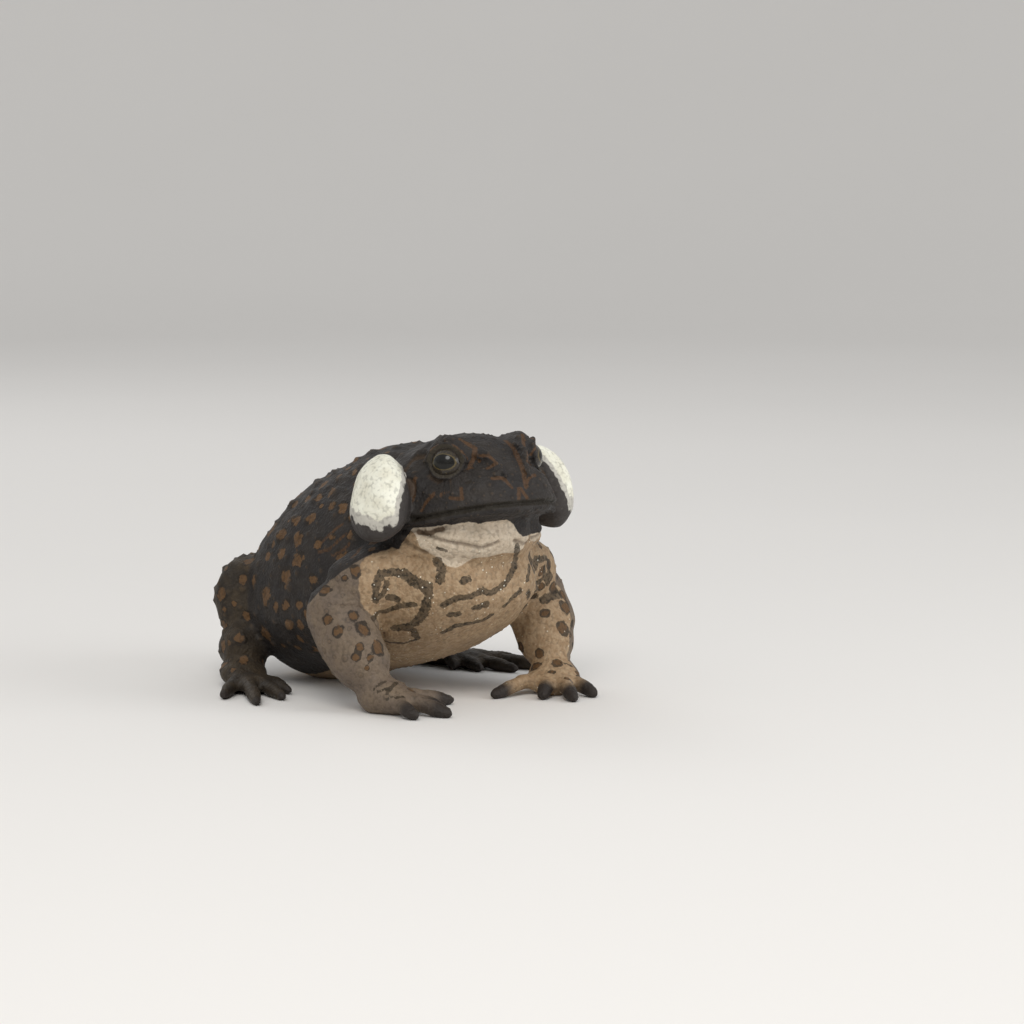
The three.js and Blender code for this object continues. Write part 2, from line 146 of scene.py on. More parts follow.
def add_shape(mesh, shape):
    """Adds a finished shape to mesh, and frees it."""
    data = bpy.data.meshes.new("shape")
    shape.to_mesh(data)
    shape.free()
    mesh.from_mesh(data)
    bpy.data.meshes.remove(data)


def add_body(mesh, rings, above=(0, 0, 1), sides=48, steps=40, blunt=6.0, fullness=1.0):
    """Adds a closed body to mesh: a ball whose points are moved onto the rings."""
    places = [place for place, _ in rings]
    reaches = [reach for _, reach in rings]
    body = bmesh.new()
    bmesh.ops.create_uvsphere(body, u_segments=sides, v_segments=steps, radius=1.0)
    levels = {}
    for vert in body.verts:
        level = round(vert.co.z, 5)
        if level not in levels:
            share = min(1.0, max(0.0, (1 + level) / 2))
            near = bent_line(places, max(0.0, share - 1e-4))
            along = (bent_line(places, min(1.0, share + 1e-4)) - near).normalized()
            side = along.cross(Vector(above)).normalized()
            closing = math.sqrt(max(0.0, 1 - abs(2 * share - 1) ** blunt))
            levels[level] = (
                bent_line(places, share),
                side,
                side.cross(along),
                bent_line(reaches, share) * closing,
            )
        middle, side, up, size = levels[level]
        flat = math.hypot(vert.co.x, vert.co.y) or 1.0
        across, rise = vert.co.x / flat, vert.co.y / flat
        across = math.copysign(abs(across) ** fullness, across)
        rise = math.copysign(abs(rise) ** fullness, rise)
        vert.co = middle + side * across * size.x + up * rise * (size.y if rise > 0 else size.z)
    add_shape(mesh, body)


def add_ball(mesh, place, facing, radius, half_height, sides=24, steps=16):
    """Adds a ball stretched along the way it faces."""
    ball = bmesh.new()
    bmesh.ops.create_uvsphere(ball, u_segments=sides, v_segments=steps, radius=radius)
    turned = Vector(facing).to_track_quat("Z", "Y")
    for vert in ball.verts:
        vert.co.z *= half_height / radius
        vert.co = turned @ vert.co + Vector(place)
    add_shape(mesh, ball)


# The toad's main forms, with the sizes of the source's solids
def add_trunk(mesh):
    rows = [
        (-36, 51.5, 18, 44, 62),
        (-28.5, 48.5, 25, 34.5, 75),
        (-15, 44, 35, 24, 92),
        (5, 39.5, 42.5, 14, 97),
        (25, 36.5, 46, 8, 93),
        (45, 34.5, 47, 3, 85),
        (62, 31, 44.5, -1.6, 72),
        (78, 26, 35, -3, 52),
        (88, 22, 24, 2, 37),
        (94, 20, 14, 10, 28),
    ]
    add_body(mesh, middle_rings(rows), sides=96, steps=90, blunt=24)


def add_head(mesh):
    rows = [
        (-52.5, 80, 12, 74.5, 88),
        (-50, 79, 16, 73.5, 90.5),
        (-46, 78, 20.5, 72, 94),
        (-40, 76.5, 24.5, 69.5, 98.5),
        (-32, 75, 27.5, 67, 101.5),
        (-24, 74, 30, 65, 102),
        (-14, 73, 32.5, 63.5, 101),
        (-2, 73, 33, 62, 98),
        (10, 74, 28, 63, 93),
    ]
    add_body(mesh, middle_rings(rows), sides=96, steps=90, blunt=20, fullness=0.94)


def add_throat(mesh):
    rows = [
        (-43, 70, 14, 66, 74),
        (-37, 67, 22, 58, 74),
        (-26, 63, 28, 51.5, 75),
        (-12, 61, 32, 49, 77),
        (2, 61, 31, 50, 77),
    ]
    add_body(mesh, middle_rings(rows), sides=64, steps=40, blunt=8)


def mouth_line(y):
    """The height of the line of the mouth at one or many places along the head."""
    share = np.maximum(0.0, (MOUTH["corner_y"] - y) / (MOUTH["corner_y"] - MOUTH["tip_y"]))
    height = MOUTH["corner_z"] + (MOUTH["tip_z"] - MOUTH["corner_z"]) * share ** MOUTH["curve"]
    return np.where(y > MOUTH["corner_y"], height - 0.1 * (y - MOUTH["corner_y"]), height)


def add_lip(mesh, rise, radius):
    """A rounded rim along a jaw, just over or under the mouth."""
    rings = []
    for step in range(25):
        angle = math.pi * (step / 24 - 0.5)
        x = math.copysign(abs(math.sin(angle)) ** LIP["tuck"], angle) * LIP["half_width"]
        y = LIP["back_y"] - LIP["reach"] * max(0.0, math.cos(angle)) ** LIP["round"]
        rings.append(ring((x, y, float(mouth_line(y)) + rise), radius, radius))
    add_body(mesh, rings, sides=16, steps=90, blunt=12)


def add_parotoid(mesh, side):
    rows = [
        (34.2, -26.6, 84.5, 6.8, 10.3, 11),
        (36.9, -21.3, 82.4, 9.3, 14.8, 16),
        (37.5, -14.5, 79.6, 10.1, 16.6, 18.4),
        (36.5, -8.5, 77, 9, 14, 15.6),
        (34.4, -4, 75.4, 6, 9),
    ]
    above = (-0.32 * side, 0, 0.95)
    add_body(mesh, side_rings(side, rows), above=above, sides=64, steps=48, blunt=5)


def add_arm(mesh, side):
    inward = ARM_INWARD[side]
    upper = [
        (22, -13, 56, 9.5, 10),
        (31, -10, 51.5, 11, 11.5),
        (40, -5, 46, 12.5, 12.5),
        (47.4, -0.5, 40.5, 12.4, 12.4),
    ]
    lower = [
        (48, 3.5, 46.5, 10.8, 10.8),
        (48, -1.8, 36, 12, 12),
        (47, -8, 26, 12.2, 12.2),
        (45.2, -13.5, 17, 10.9, 10.9),
        (44, -18.5, 8, 8, 8),
    ]
    add_body(mesh, side_rings(side, upper, inward), sides=48, steps=36, blunt=5)
    add_body(mesh, side_rings(side, lower, inward), above=(0, -1, 0), sides=48, steps=36, blunt=6)


def add_leg(mesh, side):
    thigh = [
        (14, 80, 28, 13, 15),
        (28, 79, 32, 14, 16),
        (39, 73.5, 32.5, 13, 17.5),
        (45.5, 66.5, 32, 10.5, 15),
    ]
    shank = [
        (41, 61, 18, 8, 9),
        (43, 67, 15.5, 8.5, 10),
        (40, 75, 12.5, 8.5, 10),
        (36, 82, 9, 7, 8),
    ]
    add_body(mesh, side_rings(side, thigh), sides=56, steps=40, blunt=5)
    add_body(mesh, side_rings(side, shank), above=(side, 0, 0.4), sides=48, steps=36, blunt=5)


# Hands and feet: digits fan out from the wrist and the sole
WRIST = {"x": 43.5, "y": -19.0, "heading": 0.62}
FINGERS = [(0.82, 34.0, 3.1), (0.2, 27.5, 3.2), (-0.2, 33.0, 3.3), (-0.62, 27.0, 3.1)]
SOLE = {"x": 49.0, "y": 61.0, "heading": 0.36}
HEEL = (37.0, 83.0)
TOES = [
    (-0.78, 20.0, 3.0),
    (-0.46, 29.0, 3.1),
    (-0.17, 40.0, 3.2),
    (0.12, 49.0, 3.3),
    (0.46, 34.0, 3.1),
]
WEB = {"share": 0.56, "dip": 0.42, "top": 1.9}
# Rows of a palm: distance from the wrist, height, half width, rise and drop
PALM = [(-7, 7, 7, 6, 8), (2, 7, 9.5, 7, 8), (11, 5, 10.5, 4.5, 6), (17, 3.5, 8, 3, 5)]
# Rows of a digit: share of its length, height, half width and rise over its radius
FINGER_FORM = [
    (0.45, 5, 1.04, 1),
    (0.6, 4.2, 0.84, 0.9),
    (0.74, 3.3, 0.94, 0.92),
    (0.87, 2.2, 0.8, 0.8),
    (1, 1.5, 0.75, 0.7),
]
TOE_FORM = [
    (0.4, 3.6, 1, 0.98),
    (0.56, 3.2, 0.8, 0.84),
    (0.7, 2.8, 0.88, 0.9),
    (0.86, 2.1, 0.7, 0.74),
    (1, 1.5, 0.66, 0.66),
]


def hand_point(side, turn, distance, z):
    heading = WRIST["heading"] + turn
    x = WRIST["x"] - ARM_INWARD[side] - distance * math.sin(heading)
    return (side * x, WRIST["y"] - distance * math.cos(heading), z)


def foot_point(side, turn, distance, z):
    heading = SOLE["heading"] + turn
    x = SOLE["x"] + distance * math.sin(heading)
    return (side * x, SOLE["y"] - distance * math.cos(heading), z)


def add_digit(mesh, root, form, steps, point_at, side, turn, length, radius):
    """Adds a finger or toe that starts at its root and follows the rows of its form."""
    rings = [ring(root, radius, radius)]
    for share, z, wide, up in form:
        rings.append(ring(point_at(side, turn, length * share, z), radius * wide, radius * up))
    add_body(mesh, rings, sides=24, steps=steps, blunt=7)


def add_hand(mesh, side):
    palm = [ring(hand_point(side, 0, distance, z), *reach) for distance, z, *reach in PALM]
    add_body(mesh, palm, sides=40, steps=28, blunt=4)
    for digit in FINGERS:
        root = hand_point(side, digit[0] * 0.5, 6, 5)
        add_digit(mesh, root, FINGER_FORM, 36, hand_point, side, *digit)


def add_foot(mesh, side):
    heel_x, heel_y = HEEL
    sole_x, sole_y = SOLE["x"], SOLE["y"]
    tarsus = [
        (heel_x - 2, heel_y + 3, 7, 6.5, 6, 7.5),
        ((heel_x + sole_x) / 2 - 2, (heel_y + sole_y) / 2, 7, 7.5, 6.5, 7.5),
        (sole_x - 1, sole_y + 2, 6, 9, 5.5, 6.5),
    ]
    rings = [*side_rings(side, tarsus), ring(foot_point(side, 0, 9, 3.6), 9.5, 3.4, 5)]
    add_body(mesh, rings, sides=40, steps=32, blunt=5)
    for digit in TOES:
        root = foot_point(side, digit[0] * 0.3, 0, 4.4)
        add_digit(mesh, root, TOE_FORM, 40, foot_point, side, *digit)
    add_web(mesh, side)


def add_web(mesh, side):
    """A thin plate between the toes, cut back in an arc between each two."""
    outline = [foot_point(side, 0, 0, 0)]
    for index, (turn, length, _) in enumerate(TOES):
        outline.append(foot_point(side, turn, length * WEB["share"], 0))
        if index + 1 < len(TOES):
            after = TOES[index + 1]
            dip = min(length, after[1]) * WEB["dip"]
            outline.append(foot_point(side, (turn + after[0]) / 2, dip, 0))
    face = mesh.faces.new([mesh.verts.new(point) for point in outline])
    raised = bmesh.ops.extrude_face_region(mesh, geom=[face])["geom"]
    tops = [part for part in raised if isinstance(part, bmesh.types.BMVert)]
    bmesh.ops.translate(mesh, vec=(0, 0, WEB["top"]), verts=tops)


# Crests of the head, the mounds of the eyes and the nostril rims
def add_head_forms(mesh, side):
    def crest(rows, above=(0, 0, 1)):
        add_body(mesh, side_rings(side, rows), above=above, sides=20, steps=40, blunt=3)

    crest(
        [
            (6.4, -47.5, 91, 1.4, 1.8),
            (8.6, -43, 95.2, 1.8, 2),
            (11.4, -37, 98, 2, 2.2),
            (13.4, -30, 99.4, 2.2, 2.6),
            (15.4, -22.5, 98.6, 2.2, 2.4),
            (21, -17, 95, 2, 2.2),
            (26.5, -15, 89.8, 1.5, 1.6),
        ]
    )
    crest(
        [
            (11.2, -38, 98, 1.2, 1.6),
            (16, -39.5, 94, 1.5, 1.7),
            (19.8, -40, 89, 1.5, 1.7),
            (22.4, -40, 84.5, 1.1, 1.2),
        ],
        above=(0, -1, 0),
    )
    crest(
        [
            (16, -22, 98.2, 1.2, 1.6),
            (21.4, -22, 94.6, 1.5, 1.7),
            (24.8, -22.6, 89.6, 1.5, 1.7),
            (27.4, -24, 84.6, 1.1, 1.2),
        ],
        above=(0, -1, 0),
    )
    facing = (0.6 * side, -0.7, 0.35)
    add_ball(mesh, mirrored(NOSTRIL["rim"], side), facing, NOSTRIL["radius"], 1.8)
    mound = Vector((side * (EYE["x"] - 1.0), EYE["y"] + 0.6, EYE["z"] + 1.2))
    add_ball(mesh, mound, gaze(side), EYE["radius"] + 2.7, EYE["radius"] + 0.9, sides=48, steps=32)


def gaze(side):
    return Vector(mirrored(GAZE, side)).normalized()


# One closed skin over all forms
def on_both_sides(*adders):
    return [(add, side) for side in SIDES.values() for add in adders]


# Groups of forms: the function that adds each one, and what it needs beside the mesh
FORMS = {
    "gland": on_both_sides(add_parotoid),
    "arm": on_both_sides(add_arm, add_hand),
    "leg": on_both_sides(add_leg, add_foot),
    "throat": [(add_throat,)],
    "head": [
        (add_head,),
        (add_lip, 1.4, 1.5),
        (add_lip, -1.6, 1.3),
        *on_both_sides(add_head_forms),
    ],
    "trunk": [(add_trunk,)],
}


def make_forms(adders):
    mesh = bmesh.new()
    for add, *rest in adders:
        add(mesh, *rest)
    return mesh


def add_object(name, data):
    """Links a new object that shows the data to the scene."""
    added = bpy.data.objects.new(name, data)
    bpy.context.scene.collection.objects.link(added)
    return added


def add_mesh_object(name, mesh, material=None):
    """Turns a finished mesh into an object with smooth faces, and frees the mesh."""
    for face in mesh.faces:
        face.smooth = True
    data = bpy.data.meshes.new(name)
    mesh.to_mesh(data)
    mesh.free()
    if material:
        data.materials.append(material)
    return add_object(name, data)


def new_piece(mesh, name, material=None):
    """Puts a finished mesh of millimetres into the scene, in metres of the row's frame."""
    for vert in mesh.verts:
        vert.co = to_row(vert.co)
    return add_mesh_object(name, mesh, material)


def remesh(piece, size):
    """Replaces the piece's crossing bodies by one closed surface of even squares."""
    modifier = piece.modifiers.new("One surface", "REMESH")
    modifier.mode = "VOXEL"
    modifier.voxel_size = size
    graph = bpy.context.evaluated_depsgraph_get()
    data = bpy.data.meshes.new_from_object(piece.evaluated_get(graph))
    piece.modifiers.clear()
    old, piece.data = piece.data, data
    bpy.data.meshes.remove(old)


def refine(piece, chosen):
    """Splits the squares of a region into four."""
    mesh = bmesh.new()
    mesh.from_mesh(piece.data)
    mesh.verts.ensure_lookup_table()
    for vert in mesh.verts:
        vert.tag = bool(chosen[vert.index])
    edges = [edge for edge in mesh.edges if edge.verts[0].tag and edge.verts[1].tag]
    bmesh.ops.subdivide_edges(mesh, edges=edges, cuts=1, use_grid_fill=True)
    mesh.to_mesh(piece.data)
    mesh.free()


class Clay:
    """The skin's points while it is sculpted, in millimetres of the source's frame."""

    def __init__(self, piece):
        self.piece = piece
        data = piece.data
        flat = np.empty(len(data.vertices) * 3)
        data.vertices.foreach_get("co", flat)
        self.points = flat.reshape(-1, 3) / MM
        self.points[:, 1] -= BACKWARD
        pairs = np.empty(len(data.edges) * 2, dtype=np.int64)
        data.edges.foreach_get("vertices", pairs)
        self.pairs = pairs.reshape(-1, 2)
        self.count = np.bincount(pairs, minlength=len(self.points))
        self.find_normals()

    def save(self):
        placed = self.points.copy()
        placed[:, 1] += BACKWARD
        self.piece.data.vertices.foreach_set("co", (placed * MM).ravel())
        self.piece.data.update()

    def find_normals(self):
        self.save()
        flat = np.empty(len(self.points) * 3)
        self.piece.data.vertices.foreach_get("normal", flat)
        self.normals = flat.reshape(-1, 3)

    def average(self, values):
        """Each point's mean of its neighbours' values."""
        first, second = self.pairs[:, 0], self.pairs[:, 1]
        total = np.zeros_like(values)
        np.add.at(total, first, values[second])
        np.add.at(total, second, values[first])
        return total / np.maximum(self.count, 1).reshape((-1,) + (1,) * (values.ndim - 1))

    def smooth(self, rounds, amount):
        """Evens the surface, with an amount from 0 to 1 at each point."""
        weight = np.broadcast_to(amount, len(self.points))[:, None]
        for _ in range(rounds):
            self.points = self.points + weight * (self.average(self.points) - self.points)
        self.find_normals()

    def push(self, heights):
        self.points = self.points + self.normals * np.asarray(heights)[:, None]


def soft_step(values, low, high):
    share = np.clip((values - low) / (high - low), 0.0, 1.0)
    return share * share * (3 - 2 * share)


def hump(values, middle, width):
    """A smooth bump that is 1 where the values are at its middle."""
    return np.exp(-(((values - middle) / width) ** 2))


def ripple(points, size, seed):
    """Smooth unevenness between -1 and 1, with bumps of about the given size."""
    draws = random.Random(seed)
    total = np.zeros(len(points))
    waves = 14
    for _ in range(waves):
        way = Vector((draws.gauss(0, 1), draws.gauss(0, 1), draws.gauss(0, 1))).normalized()
        pitch = 2 * math.pi / (size * draws.uniform(1.2, 2.6))
        total += np.sin(points @ np.array(way) * pitch + draws.uniform(0, 6.3))
    return total / math.sqrt(waves)


# Folds, grooves and pits follow marks on the skin, which are pairs of a point and a radius. Each
# leaves a field for the colours.
def mirror(mark):
    point, radius = mark
    return Vector((-point.x, point.y, point.z)), radius


def scatter(clay, draws, tries, pool, choose, spacing, marks):
    """Adds round marks at drawn points of a pool, with chosen radii, wherever there is room."""
    for _ in range(tries):
        index = pool[draws.randrange(len(pool))]
        radius = choose(clay, index, draws)
        if radius is None:
            continue
        place = Vector(clay.points[index])
        if all((place - other).length > spacing * (radius + size) for other, size in marks):
            marks.append((place, radius))
    return marks


class Places:
    """Finds places on the skin, and how far its points are from them."""

    def __init__(self, clay):
        polygons = [tuple(face.vertices) for face in clay.piece.data.polygons]
        self.surface = BVHTree.FromPolygons([Vector(point) for point in clay.points], polygons)
        self.tree = KDTree(len(clay.points))
        for index, point in enumerate(clay.points):
            self.tree.insert(point, index)
        self.tree.balance()
        self.count = len(clay.points)

    def seen_at(self, u, v):
        """The skin's point at a place of the picture, or None."""
        eye_point, right, up, back = camera_frame()
        reach = CAMERA["scale"] * CAMERA["distance"]
        half = PICTURE / 2
        way = right * (u - half) / reach - up * (v - half) / reach - back
        return self.surface.ray_cast(eye_point, way.normalized())[0]

    def line(self, picks, radius=1.0, both_sides=True):
        """Marks along a line on the skin, whose corners are places of the picture."""
        found = [self.seen_at(u, v) for u, v in picks]
        corners = [point for point in found if point is not None]
        points = []
        for start, end in zip(corners, corners[1:]):
            count = max(1, int((end - start).length / LINE["step"]))
            points += [start.lerp(end, index / count) for index in range(count)]
        points += corners[-1:]
        marks = [(self.surface.find_nearest(point)[0], radius) for point in points]
        return marks + [mirror(mark) for mark in marks] if both_sides else marks

    def distance(self, marks, reach):
        """How far each skin point is from the nearest mark, over its radius, up to reach."""
        away = np.full(self.count, float(reach))
        for point, radius in marks:
            for _, index, length in self.tree.find_range(point, reach * radius):
                away[index] = min(away[index], length / radius)
        return away


def camera_frame():
    """The camera's place and its axes to the right, up and back, in the source's frame."""
    turned, raised = math.radians(CAMERA["azimuth"]), math.radians(CAMERA["elevation"])
    level = math.cos(raised)
    back = Vector((math.sin(turned) * level, -math.cos(turned) * level, math.sin(raised)))
    right = Vector((math.cos(turned), math.sin(turned), 0))
    up = back.cross(right)
    half = PICTURE / 2
    aim = right * (half - ORIGIN_SEEN_AT[0]) + up * (ORIGIN_SEEN_AT[1] - half)
    return aim / CAMERA["scale"] + back * CAMERA["distance"], right, up, back


# Regions, as shares from 0 to 1 at each skin point
def head_region(points):
    _, y, z = points.T
    return soft_step(-y, 2, 12) * soft_step(z, 56, 66)


def find_owners(clay):
    """For each group of forms, how surely each skin point lies on it, from 0 to 1."""
    away = {}
    for name, adders in FORMS.items():
        mesh = make_forms(adders)
        surface = BVHTree.FromBMesh(mesh)
        mesh.free()
        found = (surface.find_nearest(Vector(point), OWNER_REACH)[3] for point in clay.points)
        away[name] = np.array([OWNER_REACH if length is None else length for length in found])
    owners = {}
    for name in FORMS:
        others = np.minimum.reduce([values for other, values in away.items() if other != name])
        share = soft_step(others - away[name], -0.7, 0.7)
        for _ in range(2):
            share = 0.5 * share + 0.5 * clay.average(share)
        owners[name] = share
    return owners


def shape_eyes(clay):
    """Lids that lie on the eyeballs round an open slit, with folds above and below."""
    eye_field = np.full(len(clay.points), FAR_FIELD)
    for side in SIDES.values():
        centre = np.array((side * EYE["x"], EYE["y"], EYE["z"]))
        ahead = gaze(side)
        across = Vector((0, 0, 1)).cross(ahead).normalized()
        away = clay.points - centre
        far, wide, high = (away @ np.array(way) for way in (ahead, across, ahead.cross(across)))
        length = np.linalg.norm(away, axis=1)
        flat = np.hypot(wide, high) + 1e-9
        spread = np.arctan2(flat, far) * EYE["radius"]
        open_high = np.where(high > 0, EYE_OPENING["up"], EYE_OPENING["down"])
        squared = (wide / flat / EYE_OPENING["half_width"]) ** 2 + (high / flat / open_high) ** 2
        share = spread * np.sqrt(squared)
        near = (far > -1.5) & (length < 14)
        opened = EYE["radius"] - LIDS["sunk"]
        lid = EYE["radius"] + np.where(high > 0, LIDS["upper"], LIDS["lower"])
        goal = opened + (lid - opened) * soft_step(share, 0.9, 1.1)
        goal = goal + 0.55 * hump(share, 1.16, 0.12) - 0.5 * hump(share, 1.42, 0.1) * (high > -3)
        hold = (1 - soft_step(share, 1.3, 1.95)) * near
        wanted = length + (goal - length) * hold
        clay.points = centre + away * (wanted / np.maximum(length, 1e-6))[:, None]
        eye_field = np.where(near, np.minimum(eye_field, share), eye_field)
    clay.find_normals()
    return eye_field


def shape_mouth(clay):
    """The line of the mouth as a groove between two full lips."""
    _, y, z = clay.points.T
    outer = soft_step(-y, 8, 13) * (np.abs(clay.normals[:, 2]) < 0.93)
    outer = outer * (1 - soft_step(clay.owners["gland"], 0.1, 0.5))
    away = np.abs(z - mouth_line(y))
    clay.push(outer * (0.35 * hump(away, 2.0, 1.1) - 1.5 * hump(away, 0, 0.55)))
    clay.find_normals()
    return np.where(outer > 0.3, away, 3 * FAR_FIELD)


def shape_nostrils(clay, places):
    marks = [(Vector(mirrored(NOSTRIL["place"], side)), 1.0) for side in SIDES.values()]
    field = places.distance(marks, MARK_REACH)
    clay.push(-1.5 * hump(field, 0, 1.0) + 0.25 * hump(field, 2.1, 0.6))
    return field


def shape_eardrums(clay):
    """A flat thin membrane in a raised ring."""
    field = np.full(len(clay.points), FAR_FIELD)
    for side in SIDES.values():
        facing = Vector(mirrored(EARDRUM["facing"], side)).normalized()
        away = clay.points - np.array(mirrored(EARDRUM["place"], side))
        depth = away @ np.array(facing)
        flat = np.linalg.norm(away - depth[:, None] * np.array(facing), axis=1)
        share = np.where(np.abs(depth) < 6, flat / EARDRUM["radius"], FAR_FIELD)
        field = np.minimum(field, share)
    height = 0.55 * hump(field, 1.08, 0.16) - 0.5 * (1 - soft_step(field, 0.7, 1.0))
    clay.push(height * (1 - clay.owners["gland"]))
    return field


# Lines on the near side, each mirrored to the far side: places of the picture, half width and
# depth in mm
CREASES = {
    "under the throat": ([(422, 532), (444, 541), (460, 548), (482, 548), (498, 542)], 1.0, 0.7),
    "below the eye": ([(430, 475), (437, 480), (447, 483), (458, 481)], 0.8, 0.6),
    "over the arm": ([(404, 540), (414, 547), (426, 553)], 1.2, 0.8),
    "behind the eye": ([(405, 470), (410, 461), (417, 457), (425, 456)], 1.2, 0.7),
    "inner edge of the arm": (
        [
            *((332, 604), (345, 604), (360, 606), (370, 614)),
            *((378, 627), (386, 643), (393, 661), (398, 672)),
        ],
        0.7,
        0.55,
    ),
}
JAW_HOLLOW = {"picks": [(537, 527), (538, 536)], "reach": 12.0, "width": 5.0, "depth": 2.8}


def shape_creases(clay, places):
    """A hollow behind each corner of the jaw, and folds: a groove with a low roll on both banks."""
    hollow = places.distance(places.line(JAW_HOLLOW["picks"]), JAW_HOLLOW["reach"])
    sunk = JAW_HOLLOW["depth"] * hump(hollow, 0, JAW_HOLLOW["width"])
    clay.push(-sunk * (1 - clay.owners["gland"]))
    field = np.full(len(clay.points), MARK_REACH)
    for picks, half_width, depth in CREASES.values():
        away = places.distance(places.line(picks, half_width), MARK_REACH)
        clay.push(depth * (0.3 * hump(away, 2.0, 1) - hump(away, 0, 1)))
        field = np.minimum(field, away)
    return field


# Warts: low cones scattered over the back, the flanks and the limbs
def wart_sizes(place):
    """The smallest and largest wart and how likely one is at a place, or None."""
    x, y, z = place
    if z < 6:
        return None
    if y < -8 and z > 56:
        return (0.7, 1.4, 0.35) if z > 80 else (0.6, 1.1, 0.25)
    if z < 14:
        return 0.7, 1.3, 0.3
    if abs(x) > 33 and y < 8 and z < 60:
        return 0.8, 1.5, 0.2
    if y < 10 and z < 45 + y * 0.2:
        return 0.5, 0.9, 0.35
    if z < 12 + 0.2 * abs(y - 40):
        return None
    return 1.4, 3.3, 0.8


def wart_radius(clay, index, draws):
    """The radius of a wart at a skin point, or None where none grows."""
    sizes = wart_sizes(clay.points[index])
    if sizes is None or clay.owners["gland"][index] > 0.05 or draws.random() > sizes[2]:
        return None
    return sizes[0] + (sizes[1] - sizes[0]) * draws.random() ** 1.8


def shape_warts(clay, places, settings):
    draws, pool = random.Random(SEED), range(len(clay.points))
    marks = scatter(clay, draws, settings.wart_tries, pool, wart_radius, WARTS["spacing"], [])
    height = np.zeros(len(clay.points))
    for centre, radius in marks:
        for _, index, length in places.tree.find_range(centre, radius * WARTS["skirt"]):
            dome = (1 - (length / radius / WARTS["skirt"]) ** 2) ** 2
            rise = settings.wart_height * radius * (0.75 * dome + 0.25 * dome**6)
            height[index] = max(height[index], rise)
    clay.push(height)
    return places.distance(marks, WARTS["reach"])


def pore_radius(clay, index, draws):
    """The radius of a pore, which is drawn the same way all over a gland."""
    return draws.uniform(0.6, 1.1)


def shape_gland_pores(clay, places):
    draws, pool = random.Random(SEED + 1), np.nonzero(clay.owners["gland"] > 0.6)[0]
    marks = scatter(clay, draws, PORES["tries"], pool, pore_radius, PORES["spacing"], [])
    field = places.distance(marks, PORES["reach"])
    clay.push(-PORES["depth"] * np.exp(-(field**2) * 1.5))
    return field


def shape_unevenness(clay):
    """Soft lumps over the back and flanks, fine granules, and low waves on the glands."""
    points = clay.points
    calm = 1 - clay.owners["gland"]
    body = soft_step(points[:, 2], 8, 30)
    lumps = ripple(points, 9.0, SEED + 2) * 0.32 * body * (1 - 0.75 * head_region(points))
    granules = ripple(points, 3.6, SEED + 3) * 0.12
    clay.push(calm * (lumps + granules) + (1 - calm) * 0.2 * ripple(points, 7.0, SEED + 4))


# Markings on the near side, as places of the picture with a radius in mm
NEAR_SPOTS = [
    (468, 481, 1.5),
    (327, 620, 2.3),
    (338, 631, 2.4),
    (354, 616, 2.4),
    (362, 628, 3.3),
    (360, 647, 1.8),
    (356, 657, 1.9),
    (378, 648, 3.1),
    (370, 658, 1.6),
    (367, 668, 1.3),
    (411, 690, 1.7),
    (325, 591, 2.4),
    (355, 571, 2.6),
    (345, 578, 1.4),
]
CHEST_STROKES = [
    ([(375, 600), (376, 586), (380, 574), (392, 572), (403, 574)], 1.5),
    ([(403, 574), (412, 580), (422, 585), (429, 587)], 1.9),
    ([(429, 587), (427, 602), (423, 614), (416, 623), (404, 628), (396, 628)], 1.8),
    ([(375, 600), (384, 593), (387, 583)], 1.2),
    ([(388, 597), (398, 600)], 1.3),
    ([(372, 619), (385, 611), (400, 606), (414, 604)], 1.0),
    ([(413, 630), (417, 639)], 1.3),
    ([(438, 561), (442, 569), (440, 580)], 1.7),
    ([(443, 605), (456, 598), (470, 596), (483, 590)], 1.2),
    ([(483, 592), (492, 593), (503, 586), (512, 573), (516, 560), (517, 546)], 1.2),
    ([(462, 581), (469, 579)], 1.3),
    ([(450, 615), (458, 614)], 1.4),
    ([(475, 607), (486, 604)], 1.5),
    ([(443, 632), (456, 625), (470, 623), (482, 620), (491, 615)], 1.2),
    ([(504, 606), (512, 597), (520, 590)], 1.1),
    ([(526, 581), (529, 566)], 0.9),
    ([(437, 548), (446, 551)], 0.8),
    ([(545, 577), (551, 576)], 1.4),
    ([(543, 600), (552, 596), (559, 594)], 1.7),
    ([(386, 641), (404, 643), (414, 641)], 0.8),
    ([(374, 689), (386, 681)], 0.6),
    ([(377, 693), (388, 688)], 0.6),
    ([(387, 694), (397, 682)], 0.7),
    ([(386, 700), (394, 696)], 0.6),
    ([(397, 698), (403, 697)], 0.7),
]
HIDDEN_CHEST = 17.0
BROWN_LINES = [
    ([(461, 439), (475, 448), (474, 458), (468, 470), (470, 476)], 1.0),
    ([(479, 461), (481, 455), (489, 456), (497, 463), (487, 468)], 0.7),
    ([(492, 478), (500, 478), (506, 480), (512, 487)], 0.8),
    ([(433, 485), (437, 492), (428, 500), (406, 511)], 0.9),
    ([(441, 495), (452, 490), (461, 486), (462, 499), (450, 498)], 0.8),
    ([(519, 489), (519, 499)], 0.9),
    ([(430, 450), (437, 444), (445, 442), (455, 446), (462, 452), (467, 459)], 0.6),
    ([(417, 470), (415, 488), (411, 505)], 0.9),
    ([(419, 532), (430, 533), (442, 529)], 1.2),
    ([(505, 441), (514, 450), (519, 460), (524, 473), (526, 487)], 1.0, "far side alone"),
    ([(318, 552), (329, 550), (336, 543), (346, 534)], 0.8),
    ([(323, 541), (334, 531), (342, 524)], 0.8),
    ([(332, 556), (343, 550), (350, 543)], 0.8),
    ([(352, 558), (358, 552), (362, 547)], 0.8),
]


